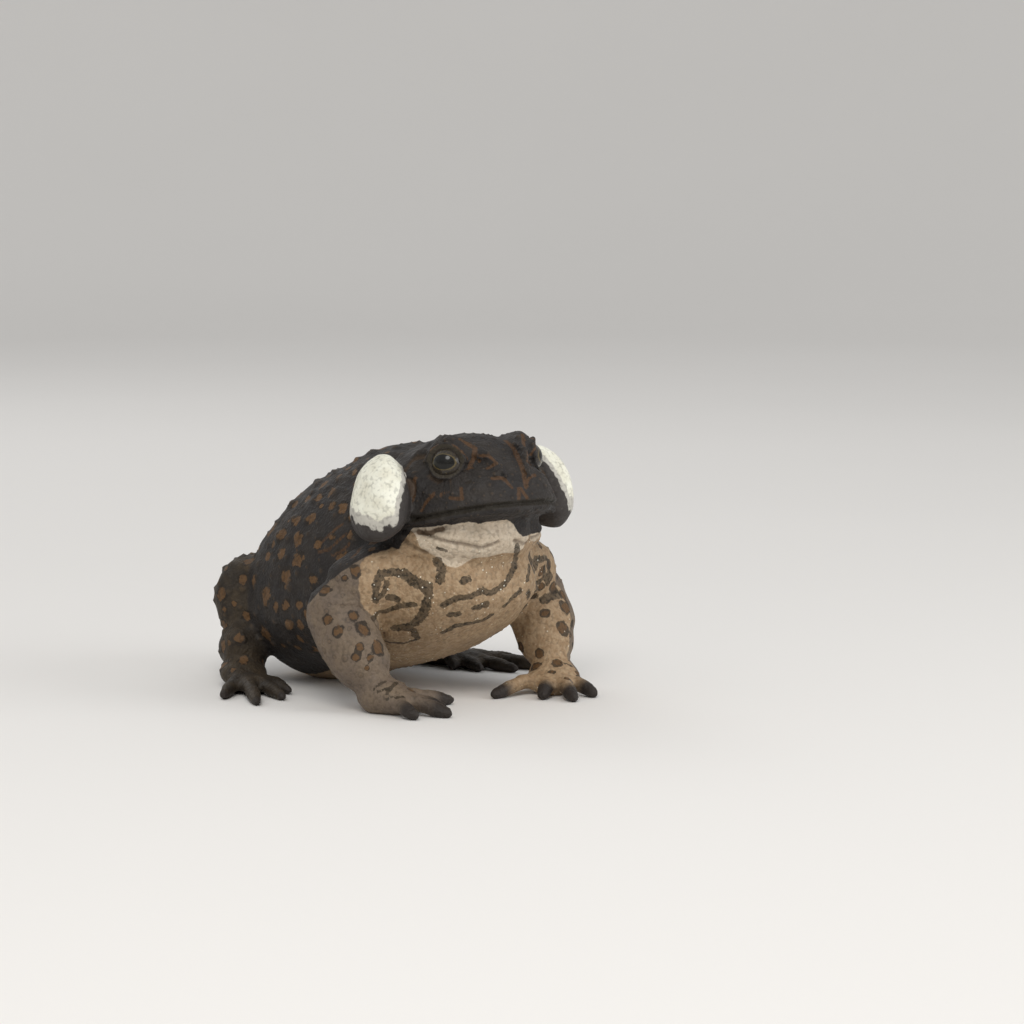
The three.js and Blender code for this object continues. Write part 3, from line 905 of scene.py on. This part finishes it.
def spot_radius(clay, index, draws):
    """The radius of a brown spot at a skin point, or None where the picture shows none."""
    x, y, z = clay.points[index]
    owned = {name: share[index] for name, share in clay.owners.items()}
    if owned["gland"] > 0.01 or owned["throat"] > 0.01 or z < 7:
        return None
    if owned["head"] > 0.3 or (owned["trunk"] > 0.5 and (y < 2 and abs(x) < 38)):
        return None
    if owned["arm"] > 0.4:
        return None if (x < 0 and z < 56) or draws.random() < 0.6 else draws.uniform(1.2, 2.6)
    if owned["leg"] > 0.5:
        return draws.uniform(1.4, 3.2)
    if z < 16:
        return None
    return draws.uniform(1.2, 3.0) if z > 62 else draws.uniform(1.8, 4.6)


def lay_markings(clay, places):
    """Brown spots, dark strokes and brown lines: each point's distance over the mark's radius."""
    near = [(places.seen_at(u, v), radius) for u, v, radius in NEAR_SPOTS]
    spots = near + [mirror(mark) for mark in near]
    strokes, lines = [], []
    for picks, half_width in CHEST_STROKES:
        line = places.line(picks, half_width, both_sides=False)
        strokes += line + [mirror(mark) for mark in line if mark[0].x < -HIDDEN_CHEST]
    for picks, half_width, *one_side in BROWN_LINES:
        lines += places.line(picks, half_width, both_sides=not one_side)
    draws, pool = random.Random(SEED + 5), range(len(clay.points))
    scatter(clay, draws, SPOTS["tries"], pool, spot_radius, SPOTS["spacing"], spots)
    spot_field = places.distance(spots, SPOTS["reach"])
    return spot_field, places.distance(strokes, MARK_REACH), places.distance(lines, MARK_REACH)


def seen_across(x, y):
    """How far to the right of the middle the camera sees a place, in mm."""
    to_right = camera_frame()[1]
    return to_right.y * y + to_right.x * x


def arm_share(clay):
    """The arms, up to the edge of the dark back at the shoulder."""
    x, y, z = clay.points.T
    shoulder = 60.5 - 0.0165 * np.minimum(seen_across(-np.abs(x), y) + 12, 0) ** 2
    return clay.owners["arm"] * (1 - soft_step(z - shoulder, -1.8, 1.8))


def pale_share(clay, arm):
    """The pale skin of throat, chest and belly, and of the inner and front sides of the arms."""
    owners = clay.owners
    x, y, z = clay.points.T
    across = seen_across(-np.abs(x), y)
    chest = (1 - soft_step(y + 0.25 * np.abs(x), 4, 16)) * (1 - soft_step(z, 57, 62))
    under = soft_step(-clay.normals[:, 2], 0.7, 0.9) * (1 - soft_step(np.abs(x), 17, 25))
    inward = -np.sign(x) * clay.normals[:, 0]
    inner = np.where(x > 0, soft_step(inward, -0.55, -0.25), soft_step(inward, 0.65, 0.9))
    front = soft_step(across - 0.85 * np.maximum(41 - z, 0), -30.5, -26) * soft_step(z, 14, 20)
    jaw = owners["head"] * soft_step(mouth_line(y) - z, 4.2, 5.4)
    throat = np.maximum(owners["throat"], jaw) * soft_step(across - 0.7 * (z - 62), -14.5, -11)
    beyond = soft_step(z + 1.38 * seen_across(x, y), 107, 110.5) * soft_step(z, 62.5, 65.5)
    pale = np.maximum(throat * (1 - beyond), owners["trunk"] * np.maximum(chest, under))
    pale = np.maximum(pale, arm * np.maximum(inner, front))
    for _ in range(2):
        pale = clay.average(pale)
    return np.clip(pale, 0, 1)


def throat_share(points):
    """The palest skin, over an uneven edge between throat and chest."""
    x, y, z = points.T
    off_middle = seen_across(x, y) - 11.5
    half_width = np.where(off_middle > 0, 23, 17)
    edge = 55.4 + 5.5 * (off_middle / half_width) ** 2 + 1.7 * ripple(points, 6.5, SEED + 6)
    return soft_step(z - edge, -0.8, 0.8)


def tip_share(points):
    """The dark tips of the fingers and toes."""
    tip = np.zeros(len(points))
    for point_at, digits, reach in ((hand_point, FINGERS, 15.0), (foot_point, TOES, 5.0)):
        for turn, length, _ in digits:
            for side in SIDES.values():
                away = points - np.array(point_at(side, turn, length, 1.5))
                tip = np.maximum(tip, 1 - np.linalg.norm(away, axis=1) / reach)
    return np.clip(tip, 0, 1)


def gland_top_light_height(points):
    """How far a point of the gland lies over the lower edge of the near-white painted light on its
    top, in mm.
    """
    x, y, z = points.T
    across = seen_across(-np.abs(x), y)
    low_edge = 73.2 + 0.04 * (across + 22.3) ** 2
    face_edge = -12.6 - 0.2 * np.maximum(86 - z, 0)
    near = np.minimum(z - low_edge, 2.8 * (face_edge - across))
    far = np.minimum(0.9 * (z - 73) + 2.2 * (np.abs(x) - 42.5), z - 75.5)
    return np.where(x < 0, near, far)


def make_skin(settings):
    flesh = make_forms([adder for adders in FORMS.values() for adder in adders])
    bmesh.ops.recalc_face_normals(flesh, faces=flesh.faces[:])
    piece = new_piece(flesh, "skin")
    remesh(piece, settings.voxel)
    clay = Clay(piece)
    digits = 1 - soft_step(clay.points[:, 2], 5, 12)
    clay.smooth(6, 0.55 * (1 - digits) * (1 - 0.85 * head_region(clay.points)))
    clay.smooth(1, 0.5)
    x, y, z = clay.points.T
    refine(piece, (y < -16) & (z > 62) & (np.abs(x) < 34))
    clay = Clay(piece)
    clay.owners = find_owners(clay)
    clay.smooth(2, 0.35 * head_region(clay.points) + 0.4 * clay.owners["gland"])
    fields = {
        "eye_rim": shape_eyes(clay),
        "mouth": shape_mouth(clay),
        "eardrum": shape_eardrums(clay),
    }
    places = Places(clay)
    fields["nostril"] = shape_nostrils(clay, places)
    fields["crease"] = shape_creases(clay, places)
    places = Places(clay)
    fields["spot"], fields["stroke"], fields["brown_line"] = lay_markings(clay, places)
    clay.push(-LINE["depth"] * hump(fields["brown_line"], 0, 1))
    fields["wart"] = shape_warts(clay, places, settings)
    fields["pore"] = shape_gland_pores(clay, places)
    shape_unevenness(clay)
    clay.smooth(1, 0.25)
    clay.points[:, 2] = np.maximum(clay.points[:, 2], 0.0)
    clay.save()
    fields["gland"] = clay.owners["gland"]
    # Painted light: how far each gland point lies over the edge of its near-white top, as if lit
    # from above.
    fields["milk"] = gland_top_light_height(clay.points)
    fields["leg"] = clay.owners["leg"]
    fields["arm"] = arm_share(clay)
    fields["pale"] = pale_share(clay, fields["arm"])
    fields["throat"] = throat_share(clay.points)
    fields["tip"] = tip_share(clay.points)
    for name, values in fields.items():
        attribute = piece.data.attributes.new(name, "FLOAT", "POINT")
        attribute.data.foreach_set("value", np.asarray(values, dtype=np.float32))
    for face in piece.data.polygons:
        face.use_smooth = True
    return piece


# Finishes
# Colours as 0 to 255 on a screen
COLOURS = {
    "back": (38, 35, 34),
    "back mottle": (49, 44, 40),
    "leg": (46, 40, 33),
    "leg mottle": (66, 55, 40),
    "arm": (104, 91, 79),
    "arm mottle": (118, 103, 86),
    "belly": (149, 124, 95),
    "belly mottle": (169, 146, 117),
    "throat": (188, 172, 151),
    "throat mottle": (203, 189, 169),
    "spot rim": (36, 29, 21),
    "spot": (98, 72, 45),
    "stroke": (50, 42, 30),
    "brown line": (82, 57, 34),
    "speck": (232, 226, 208),
    # Painted shade round the foot of each wart.
    "wart foot shade": (30, 25, 20),
    "wart crown": (88, 70, 50),
    # Painted shade in the gaps between granules.
    "grain gap shade": (34, 28, 23),
    "gland": (62, 58, 56),
    # Painted light: the near-white top of each gland, its mottle and the grey fringe where it
    # fades, as if lit from above.
    "gland top light fringe": (190, 187, 178),
    "milk": (222, 220, 203),
    "gland top light mottle": (238, 238, 224),
    # Painted shade in the pits of the gland's pores.
    "pore": (128, 122, 108),
    # Painted shade in the creases, the mouth groove and the nostrils.
    "crease": (70, 54, 38),
    "mouth": (38, 33, 25),
    "nostril": (18, 15, 13),
    "eye rim": (62, 55, 40),
    # Painted shade where the lids meet the eyeballs.
    "lid gap shade": (24, 20, 17),
    "eardrum": (80, 66, 54),
    "digit tip": (46, 40, 36),
    "iris": (50, 45, 40),
    "iris edge": (34, 30, 26),
    "pupil": (14, 13, 10),
    "gold": (104, 90, 54),
    "floor": (233, 231, 228),
    "floor mottle": (235, 233, 230),
}


def colour(name):
    """A named colour as Blender's linear colour."""

    def linear(value):
        value /= 255
        return value / 12.92 if value <= 0.04045 else ((value + 0.055) / 1.055) ** 2.4

    return (*(linear(value) for value in COLOURS[name]), 1.0)


def put(tree, kind, inputs=None, **settings):
    """Adds a node with its settings, and with values or links at its inputs."""
    node = tree.nodes.new(kind)
    for name, value in settings.items():
        setattr(node, name, value)
    for name, value in (inputs or {}).items():
        if isinstance(value, bpy.types.NodeSocket):
            tree.links.new(value, node.inputs[name])
        else:
            node.inputs[name].default_value = value
    return node


def calculate(tree, operation, first, second=0.0):
    return put(tree, "ShaderNodeMath", {0: first, 1: second}, operation=operation).outputs[0]


def blend(tree, share, under, over):
    """Mixes two colours: under where share is 0, over where it is 1."""
    return put(tree, "ShaderNodeMix", {0: share, 6: under, 7: over}, data_type="RGBA").outputs[2]


def field(tree, name):
    return put(tree, "ShaderNodeAttribute", attribute_name=name).outputs["Fac"]


def ramp(tree, value, low, high, start=0.0, end=1.0):
    """A smooth change from start to end as value goes from low to high."""
    inputs = {"Value": value, "From Min": low, "From Max": high, "To Min": start, "To Max": end}
    return put(tree, "ShaderNodeMapRange", inputs, interpolation_type="SMOOTHSTEP").outputs[0]


def fade(tree, name, low, high, start=1.0):
    """A mask from a field: start where the field is under low, and 0 where it is over high."""
    return ramp(tree, field(tree, name), low, high, start, 0.0)


def object_place(tree):
    return put(tree, "ShaderNodeTexCoord").outputs["Object"]


def noise(tree, size, detail=3.0, roughness=0.55):
    """Mottling between 0 and 1 with patches of about size mm."""
    inputs = {
        "Vector": object_place(tree),
        "Scale": 1 / (size * MM),
        "Detail": detail,
        "Roughness": roughness,
    }
    return put(tree, "ShaderNodeTexNoise", inputs).outputs["Fac"]


def new_group(name, inputs, outputs):
    """A node group with named float inputs and outputs, and the two nodes that carry them."""
    group = bpy.data.node_groups.new(name, "ShaderNodeTree")
    for label in inputs:
        group.interface.new_socket(label, in_out="INPUT", socket_type="NodeSocketFloat")
    for label in outputs:
        group.interface.new_socket(label, in_out="OUTPUT", socket_type="NodeSocketFloat")
    return group, group.nodes.new("NodeGroupInput"), group.nodes.new("NodeGroupOutput")


def ragged_edge_group():
    """A mask that is 1 where Field is under Level, with an edge that noise makes uneven."""
    name = "Ragged edge"
    if name in bpy.data.node_groups:
        return bpy.data.node_groups[name]
    labels = ["Field", "Level", "Softness", "Unevenness", "Scale"]
    group, given, result = new_group(name, labels, ["Mask"])
    inputs = {"Vector": object_place(group), "Scale": given.outputs["Scale"], "Detail": 3.0}
    speckle = put(group, "ShaderNodeTexNoise", inputs).outputs["Fac"]
    centred = calculate(group, "SUBTRACT", speckle, 0.5)
    shift = calculate(group, "MULTIPLY", centred, given.outputs["Unevenness"])
    shifted = calculate(group, "ADD", given.outputs["Field"], shift)
    over = calculate(group, "SUBTRACT", shifted, given.outputs["Level"])
    share = calculate(group, "DIVIDE", over, given.outputs["Softness"])
    group.links.new(ramp(group, share, -1.0, 1.0, 1.0, 0.0), result.inputs["Mask"])
    return group


def ragged(tree, value, level, softness, unevenness, size):
    node = put(tree, "ShaderNodeGroup", node_tree=ragged_edge_group())
    numbers = {"Level": level, "Softness": softness, "Unevenness": unevenness}
    for label, number in {**numbers, "Scale": 1 / (size * MM)}.items():
        node.inputs[label].default_value = number
    tree.links.new(value, node.inputs["Field"])
    return node.outputs["Mask"]


def fine_grain_group():
    """The height of a close grain of rounded granules, and a mask of the gaps between them, where
    shade is painted.
    """
    name = "Fine grain"
    if name in bpy.data.node_groups:
        return bpy.data.node_groups[name]
    group, given, result = new_group(name, ["Scale"], ["Height", "Gaps"])
    inputs = {"Vector": object_place(group), "Scale": given.outputs["Scale"]}
    cells = put(
        group, "ShaderNodeTexVoronoi", {**inputs, "Randomness": 1.0}, feature="SMOOTH_F1"
    ).outputs["Distance"]
    inputs.update({"Detail": 5.0, "Roughness": 0.65})
    dust = put(group, "ShaderNodeTexNoise", inputs).outputs["Fac"]
    dome = ramp(group, cells, 0.0, 0.62, 1.0, 0.0)
    height = calculate(group, "ADD", dome, calculate(group, "MULTIPLY", dust, 0.7))
    group.links.new(height, result.inputs["Height"])
    group.links.new(ramp(group, cells, 0.42, 0.7), result.inputs["Gaps"])
    return group


def grain(tree, size):
    node = put(tree, "ShaderNodeGroup", node_tree=fine_grain_group())
    node.inputs["Scale"].default_value = 1 / (size * MM)
    return node.outputs["Height"], node.outputs["Gaps"]


def new_material(name):
    material = bpy.data.materials.new(name)
    material.use_nodes = True
    tree = material.node_tree
    return material, tree, tree.nodes["Principled BSDF"]


def both(tree, *masks):
    """All masks at once."""
    total = masks[0]
    for mask in masks[1:]:
        total = calculate(tree, "MULTIPLY", total, mask)
    return total


def flip(tree, mask):
    return calculate(tree, "SUBTRACT", 1.0, mask)


def cover(tree, base, name, *masks):
    """Lays a named colour over base where all the masks are 1."""
    return blend(tree, both(tree, *masks), base, colour(name))


def mottled(tree, pattern, low, high, under, name):
    """A colour that changes to a named one where the pattern is high."""
    return blend(tree, ramp(tree, pattern, low, high), under, colour(name))


def ground_colours(tree, settings):
    """Dark back, brown hind legs, tan arms and pale underside, each mottled."""
    broad = noise(tree, 9.0, 4.0)
    fine = noise(tree, 2.2)
    back = mottled(tree, broad, 0.35, 0.7, (*settings.back_colour, 1.0), "back mottle")
    leg = mottled(tree, broad, 0.3, 0.7, colour("leg"), "leg mottle")
    arm = mottled(tree, broad, 0.35, 0.68, (*settings.arm_colour, 1.0), "arm mottle")
    pale = mottled(tree, fine, 0.35, 0.7, (*settings.belly_colour, 1.0), "belly mottle")
    throat = mottled(tree, fine, 0.35, 0.7, colour("throat"), "throat mottle")

    def lay(base, over, name, softness, unevenness, size):
        """Lays a colour over the region that a field marks."""
        outside = flip(tree, field(tree, name))
        return blend(tree, ragged(tree, outside, 0.5, softness, unevenness, size), base, over)

    base = blend(tree, both(tree, field(tree, "leg"), 0.9), back, leg)
    base = lay(base, arm, "arm", 0.12, 0.5, 5.0)
    pale = lay(pale, throat, "throat", 0.25, 0.6, 3.0)
    return lay(base, pale, "pale", 0.08, 0.9, 4.0)


def add_marks(tree, base):
    """Brown spots with dark rims, dark strokes on the chest, painted shade round the foot of each
    wart, and the colour of the warts.
    """
    spot = field(tree, "spot")
    base = cover(tree, base, "spot rim", ragged(tree, spot, 1.02, 0.1, 1.5, 3.4), 0.85)
    base = cover(tree, base, "spot", ragged(tree, spot, 0.72, 0.12, 1.7, 2.6), 0.9)
    stroke = ragged(tree, field(tree, "stroke"), 1.05, 0.12, 1.6, 1.5)
    worn = ramp(tree, noise(tree, 1.6, 4.0), 0.38, 0.52, 0.97, 0.72)
    base = cover(tree, base, "stroke", stroke, worn)
    lines = ragged(tree, field(tree, "brown_line"), 0.9, 0.3, 0.9, 1.6)
    base = cover(tree, base, "brown line", lines, 0.8)
    base = add_specks(tree, base)
    dry = flip(tree, field(tree, "pale"))
    # Painted shade: a dark ring round the foot of each wart.
    inner, outer = ramp(tree, field(tree, "wart"), 0.55, 0.85), fade(tree, "wart", 1.0, 1.3)
    base = cover(tree, base, "wart foot shade", inner, outer, dry, 0.3)
    return cover(tree, base, "wart crown", fade(tree, "wart", 0.1, 0.75), dry, 0.35)


def add_specks(tree, base):
    """Tiny white specks on the pale skin."""
    inputs = {"Vector": object_place(tree), "Scale": 1 / (2.2 * MM), "Randomness": 1.0}
    cells = put(tree, "ShaderNodeTexVoronoi", inputs)
    dot = ramp(tree, cells.outputs["Distance"], 0.1, 0.16, 1.0, 0.0)
    chosen = ramp(tree, noise(tree, 9.0), 0.5, 0.6)
    return cover(tree, base, "speck", dot, chosen, field(tree, "pale"))


def add_gland_colours(tree, base):
    """Painted light on each gland: near white over the top as if lit from above, a ragged grey
    fringe where it fades, and dark below; pores are darker.
    """
    milk = calculate(tree, "MULTIPLY", field(tree, "milk"), -1.0)
    # Painted light: near white over each gland's top, fading through a grey fringe, as if lit from
    # above.
    white = ragged(tree, milk, 0.0, 0.5, 6.5, 3.0)
    fringe = ragged(tree, milk, 4.2, 0.6, 9.0, 3.4)
    lit_gland_top = mottled(tree, noise(tree, 6.0), 0.3, 0.7, colour("milk"), "gland top light mottle")
    glands = blend(tree, fringe, colour("gland"), colour("gland top light fringe"))
    glands = blend(tree, white, glands, lit_gland_top)
    # Painted shade darkens the pits of the pores.
    glands = cover(tree, glands, "pore", fade(tree, "pore", 0.2, 0.9, 0.14))
    return blend(tree, ramp(tree, field(tree, "gland"), 0.35, 0.7), base, glands)


def add_edges(tree, base):
    """Painted shade in the creases, the groove of the mouth, the nostrils and the gap between lids
    and eyeballs; the rims of the eyes, the eardrums and the digit tips.
    """
    # Painted shade: creases, the mouth groove and the nostrils are darkened where shade falls in
    # them.
    shaded_hollows = (("crease", 0.3, 1.2, 0.6), ("mouth", 0.8, 1.6, 0.95), ("nostril", 0.5, 1.3, 0.95))
    for name, full, gone, strength in shaded_hollows:
        base = cover(tree, base, name, fade(tree, name, full, gone, strength))
    inner, outer = ramp(tree, field(tree, "eye_rim"), 0.98, 1.03), fade(tree, "eye_rim", 1.06, 1.12)
    base = cover(tree, base, "eye rim", inner, outer, 0.5)
    # Painted shade in the gap where each lid meets its eyeball.
    base = cover(tree, base, "lid gap shade", fade(tree, "eye_rim", 0.9, 1.02))
    base = cover(tree, base, "eardrum", fade(tree, "eardrum", 0.8, 1.0, 0.8))
    return cover(tree, base, "digit tip", ramp(tree, field(tree, "tip"), 0.15, 0.6))


def skin_material(settings):
    material, tree, shader = new_material("toad_skin")
    base = ground_colours(tree, settings)
    base = add_marks(tree, base)
    base = add_gland_colours(tree, base)
    height, gaps = grain(tree, 1.1)
    # Painted shade: the gaps between the granules are darkened.
    base = cover(tree, base, "grain gap shade", gaps, 0.28)
    tree.links.new(add_edges(tree, base), shader.inputs["Base Color"])
    low, high = settings.roughness - 0.08, settings.roughness + 0.08
    tree.links.new(ramp(tree, noise(tree, 3.0), 0.3, 0.7, low, high), shader.inputs["Roughness"])
    total = calculate(tree, "ADD", both(tree, height, 0.35), noise(tree, 4.0, 4.0))
    calm = flip(tree, both(tree, field(tree, "gland"), 0.6))
    inputs = {"Height": both(tree, total, calm), "Distance": 0.8 * MM, "Strength": 0.75}
    bump = put(tree, "ShaderNodeBump", inputs)
    tree.links.new(bump.outputs["Normal"], shader.inputs["Normal"])
    shader.inputs["Specular IOR Level"].default_value = 0.3
    return material


def eye_material(settings):
    """A wide dark pupil in a dark bronze iris with gold flecks, under a clear wet coat."""
    material, tree, shader = new_material("toad_eye")
    across, rise = field(tree, "across"), field(tree, "rise")

    def from_middle(wide, high):
        squares = both(tree, wide, wide), both(tree, high, high)
        return calculate(tree, "SQRT", calculate(tree, "ADD", *squares))

    wide = calculate(tree, "DIVIDE", across, settings.pupil_width)
    high = calculate(tree, "DIVIDE", rise, settings.pupil_height)
    pupil = from_middle(wide, high)
    gold = (*settings.gold, 1.0)
    flecks = ramp(tree, noise(tree, 0.55, 4.0, 0.7), 0.5, 0.68)
    iris = blend(tree, both(tree, flecks, 0.5), colour("iris"), gold)
    iris = cover(tree, iris, "iris edge", ramp(tree, from_middle(across, rise), 0.6, 0.95))
    iris = blend(tree, both(tree, ragged(tree, pupil, 1.12, 0.05, 0.12, 0.8), 0.6), iris, gold)
    base = cover(tree, iris, "pupil", ragged(tree, pupil, 1.0, 0.05, 0.1, 0.8))
    tree.links.new(base, shader.inputs["Base Color"])
    shader.inputs["Roughness"].default_value = 0.35
    shader.inputs["Specular IOR Level"].default_value = 0.1
    shader.inputs["Coat Weight"].default_value = 1.0
    shader.inputs["Coat IOR"].default_value = 1.34
    shader.inputs["Coat Roughness"].default_value = 0.03
    return material


def floor_material():
    material, tree, shader = new_material("pale_floor")
    tone = mottled(tree, noise(tree, 900.0), 0.3, 0.7, colour("floor"), "floor mottle")
    tree.links.new(tone, shader.inputs["Base Color"])
    shader.inputs["Roughness"].default_value = 0.8
    return material


def make_eye(name, side, material):
    """An eyeball with a clear bulge in front, turned the way it looks."""
    mesh = bmesh.new()
    across, rise = (mesh.verts.layers.float.new(name) for name in ("across", "rise"))
    ball = bmesh.ops.create_uvsphere(mesh, u_segments=64, v_segments=48, radius=1.0)["verts"]
    turned = gaze(side).to_track_quat("Z", "Y")
    centre = Vector((side * EYE["x"], EYE["y"], EYE["z"]))
    for vert in ball:
        ahead = vert.co.z >= 0
        vert[across], vert[rise] = (vert.co.x, vert.co.y) if ahead else (2.0, 2.0)
        bulge = 1 + 0.05 * max(0.0, vert.co.z - 0.72) / 0.28
        vert.co = turned @ (vert.co * bulge * EYE["radius"]) + centre
    return new_piece(mesh, name, material)


# The stage, in metres: a round pale floor whose rim rises, soft lights and the camera
FLOOR = {"radius": 2.6, "rise": 1.4, "rim_steps": 13, "rim_degrees": 7.0}
LIGHTS = {
    "key": {"place": (-0.9, -1.0, 1.35), "size": 0.9, "tint": (1.0, 0.97, 0.93)},
    "fill": {"place": (0.9, -1.3, 0.55), "size": 1.2, "tint": (0.97, 0.98, 1.0)},
    "back": {"place": (0.2, 1.5, 1.2), "size": 1.0, "tint": (1.0, 1.0, 1.0)},
}
LIGHT_AIM = (0, 0, 0.05)
SENSOR_WIDTH = 36.0


def make_floor():
    mesh = bmesh.new()
    profile = [(0, 0)]
    for step in range(FLOOR["rim_steps"]):
        angle = math.radians(step * FLOOR["rim_degrees"])
        across = FLOOR["radius"] + FLOOR["rise"] * math.sin(angle)
        profile.append((across, FLOOR["rise"] * (1 - math.cos(angle))))
    verts = [mesh.verts.new((across, 0, height)) for across, height in profile]
    edges = [mesh.edges.new(pair) for pair in zip(verts, verts[1:])]
    turn = {"angle": 2 * math.pi, "axis": (0, 0, 1), "cent": (0, 0, 0), "steps": 96}
    bmesh.ops.spin(mesh, geom=verts + edges, use_merge=True, **turn)
    bmesh.ops.remove_doubles(mesh, verts=mesh.verts[:], dist=1e-5)
    bmesh.ops.recalc_face_normals(mesh, faces=mesh.faces[:])
    bmesh.ops.reverse_faces(mesh, faces=mesh.faces[:])
    return add_mesh_object("floor", mesh, floor_material())


def add_light(name, power, place, size, tint):
    data = bpy.data.lights.new(name, "AREA")
    data.shape = "DISK"
    data.size = size
    data.energy = power
    data.color = tint
    light = add_object(name, data)
    light.location = place
    aim = Vector(LIGHT_AIM) - Vector(place)
    light.rotation_euler = aim.to_track_quat("-Z", "Y").to_euler()


def add_camera():
    place, *_, back = camera_frame()
    data = bpy.data.cameras.new("camera")
    data.sensor_width = SENSOR_WIDTH
    data.lens = CAMERA["scale"] * CAMERA["distance"] / PICTURE * SENSOR_WIDTH
    data.dof.use_dof = False
    camera = add_object("camera", data)
    camera.location = to_row(place)
    camera.rotation_euler = back.to_track_quat("Z", "Y").to_euler()
    bpy.context.scene.camera = camera


class ToadSkinSettings(bpy.types.PropertyGroup):
    voxel: FloatProperty(
        name="Point spacing",
        description="Distance between the skin's points before the face is refined",
        default=1.2 * MM,
        unit="LENGTH",
        precision=5,
    )
    wart_height: FloatProperty(
        name="Wart height", description="Height of a wart over its radius", default=0.5
    )
    wart_tries: IntProperty(
        name="Wart tries", description="How many places are tried for a wart", default=9000
    )
    roughness: FloatProperty(
        name="Roughness",
        description="Mean roughness of the skin",
        default=0.64,
        subtype="FACTOR",
    )
    back_colour: FloatVectorProperty(
        name="Back",
        description="Colour of the back and head",
        default=colour("back")[:3],
        subtype="COLOR",
    )
    arm_colour: FloatVectorProperty(
        name="Arms", description="Colour of the arms", default=colour("arm")[:3], subtype="COLOR"
    )
    belly_colour: FloatVectorProperty(
        name="Belly",
        description="Colour of the underside",
        default=colour("belly")[:3],
        subtype="COLOR",
    )


class ToadEyeSettings(bpy.types.PropertyGroup):
    pupil_width: FloatProperty(
        name="Pupil width",
        description="Half width of the pupil over the eye's radius",
        default=0.62,
    )
    pupil_height: FloatProperty(
        name="Pupil height",
        description="Half height of the pupil over the eye's radius",
        default=0.4,
    )
    gold: FloatVectorProperty(
        name="Gold",
        description="Colour of the flecks in the iris",
        default=colour("gold")[:3],
        subtype="COLOR",
    )


class ToadStageSettings(bpy.types.PropertyGroup):
    key_power: FloatProperty(
        name="Key light", description="Power of the main light", default=13.5, unit="POWER"
    )
    fill_power: FloatProperty(
        name="Fill light",
        description="Power of the light from the other side",
        default=9.5,
        unit="POWER",
    )
    back_power: FloatProperty(
        name="Back light", description="Power of the light behind", default=3.5, unit="POWER"
    )
    sky: FloatProperty(
        name="Sky", description="Strength of the even light all round", default=0.58
    )


class TOAD_OT_skin(bpy.types.Operator):
    """Build the skin with its warts, folds, lids and markings"""

    bl_idname = "toad.skin"
    bl_label = "Build skin"

    def execute(self, context):
        settings = context.scene.toad_skin
        piece = make_skin(settings)
        piece.data.materials.append(skin_material(settings))
        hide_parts(*FLESH)
        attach(piece, "root")
        return {"FINISHED"}


class TOAD_OT_eyes(bpy.types.Operator):
    """Build both eyeballs"""

    bl_idname = "toad.eyes"
    bl_label = "Build eyes"

    def execute(self, context):
        material = eye_material(context.scene.toad_eyes)
        for name, side in SIDES.items():
            piece = make_eye("eyeball_" + name, side, material)
            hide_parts("eye_" + name)
            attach(piece, "root")
        return {"FINISHED"}


class TOAD_OT_stage(bpy.types.Operator):
    """Set up the floor, the lights and the camera"""

    bl_idname = "toad.stage"
    bl_label = "Set up stage"

    def execute(self, context):
        settings = context.scene.toad_stage
        make_floor()
        context.scene.view_settings.view_transform = "Standard"
        for name, light in LIGHTS.items():
            add_light(name, getattr(settings, name + "_power"), **light)
        world = bpy.data.worlds.new("studio")
        world.use_nodes = True
        background = world.node_tree.nodes["Background"]
        background.inputs["Color"].default_value = (1.0, 1.0, 1.0, 1.0)
        background.inputs["Strength"].default_value = settings.sky
        context.scene.world = world
        add_camera()
        return {"FINISHED"}


OPERATORS = (TOAD_OT_skin, TOAD_OT_eyes, TOAD_OT_stage)
SETTINGS = {
    "toad_skin": ToadSkinSettings,
    "toad_eyes": ToadEyeSettings,
    "toad_stage": ToadStageSettings,
}


class TOAD_PT_build(bpy.types.Panel):
    bl_label = "Toad"
    bl_idname = "TOAD_PT_build"
    bl_space_type = "VIEW_3D"
    bl_region_type = "UI"
    bl_category = "Toad"

    def draw(self, context):
        for operator, group in zip(OPERATORS, SETTINGS):
            self.layout.operator(operator.bl_idname)
            settings = getattr(context.scene, group)
            for name in SETTINGS[group].__annotations__:
                self.layout.prop(settings, name)


CLASSES = (*SETTINGS.values(), *OPERATORS, TOAD_PT_build)


def register():
    for one in CLASSES:
        bpy.utils.register_class(one)
    for name, group in SETTINGS.items():
        setattr(bpy.types.Scene, name, PointerProperty(type=group))


def unregister():
    for name in SETTINGS:
        delattr(bpy.types.Scene, name)
    for one in reversed(CLASSES):
        bpy.utils.unregister_class(one)


def main():
    """Builds everything in order."""
    register()
    bpy.ops.toad.stage()
    bpy.ops.toad.skin()
    bpy.ops.toad.eyes()


if __name__ == "__main__":
    main()
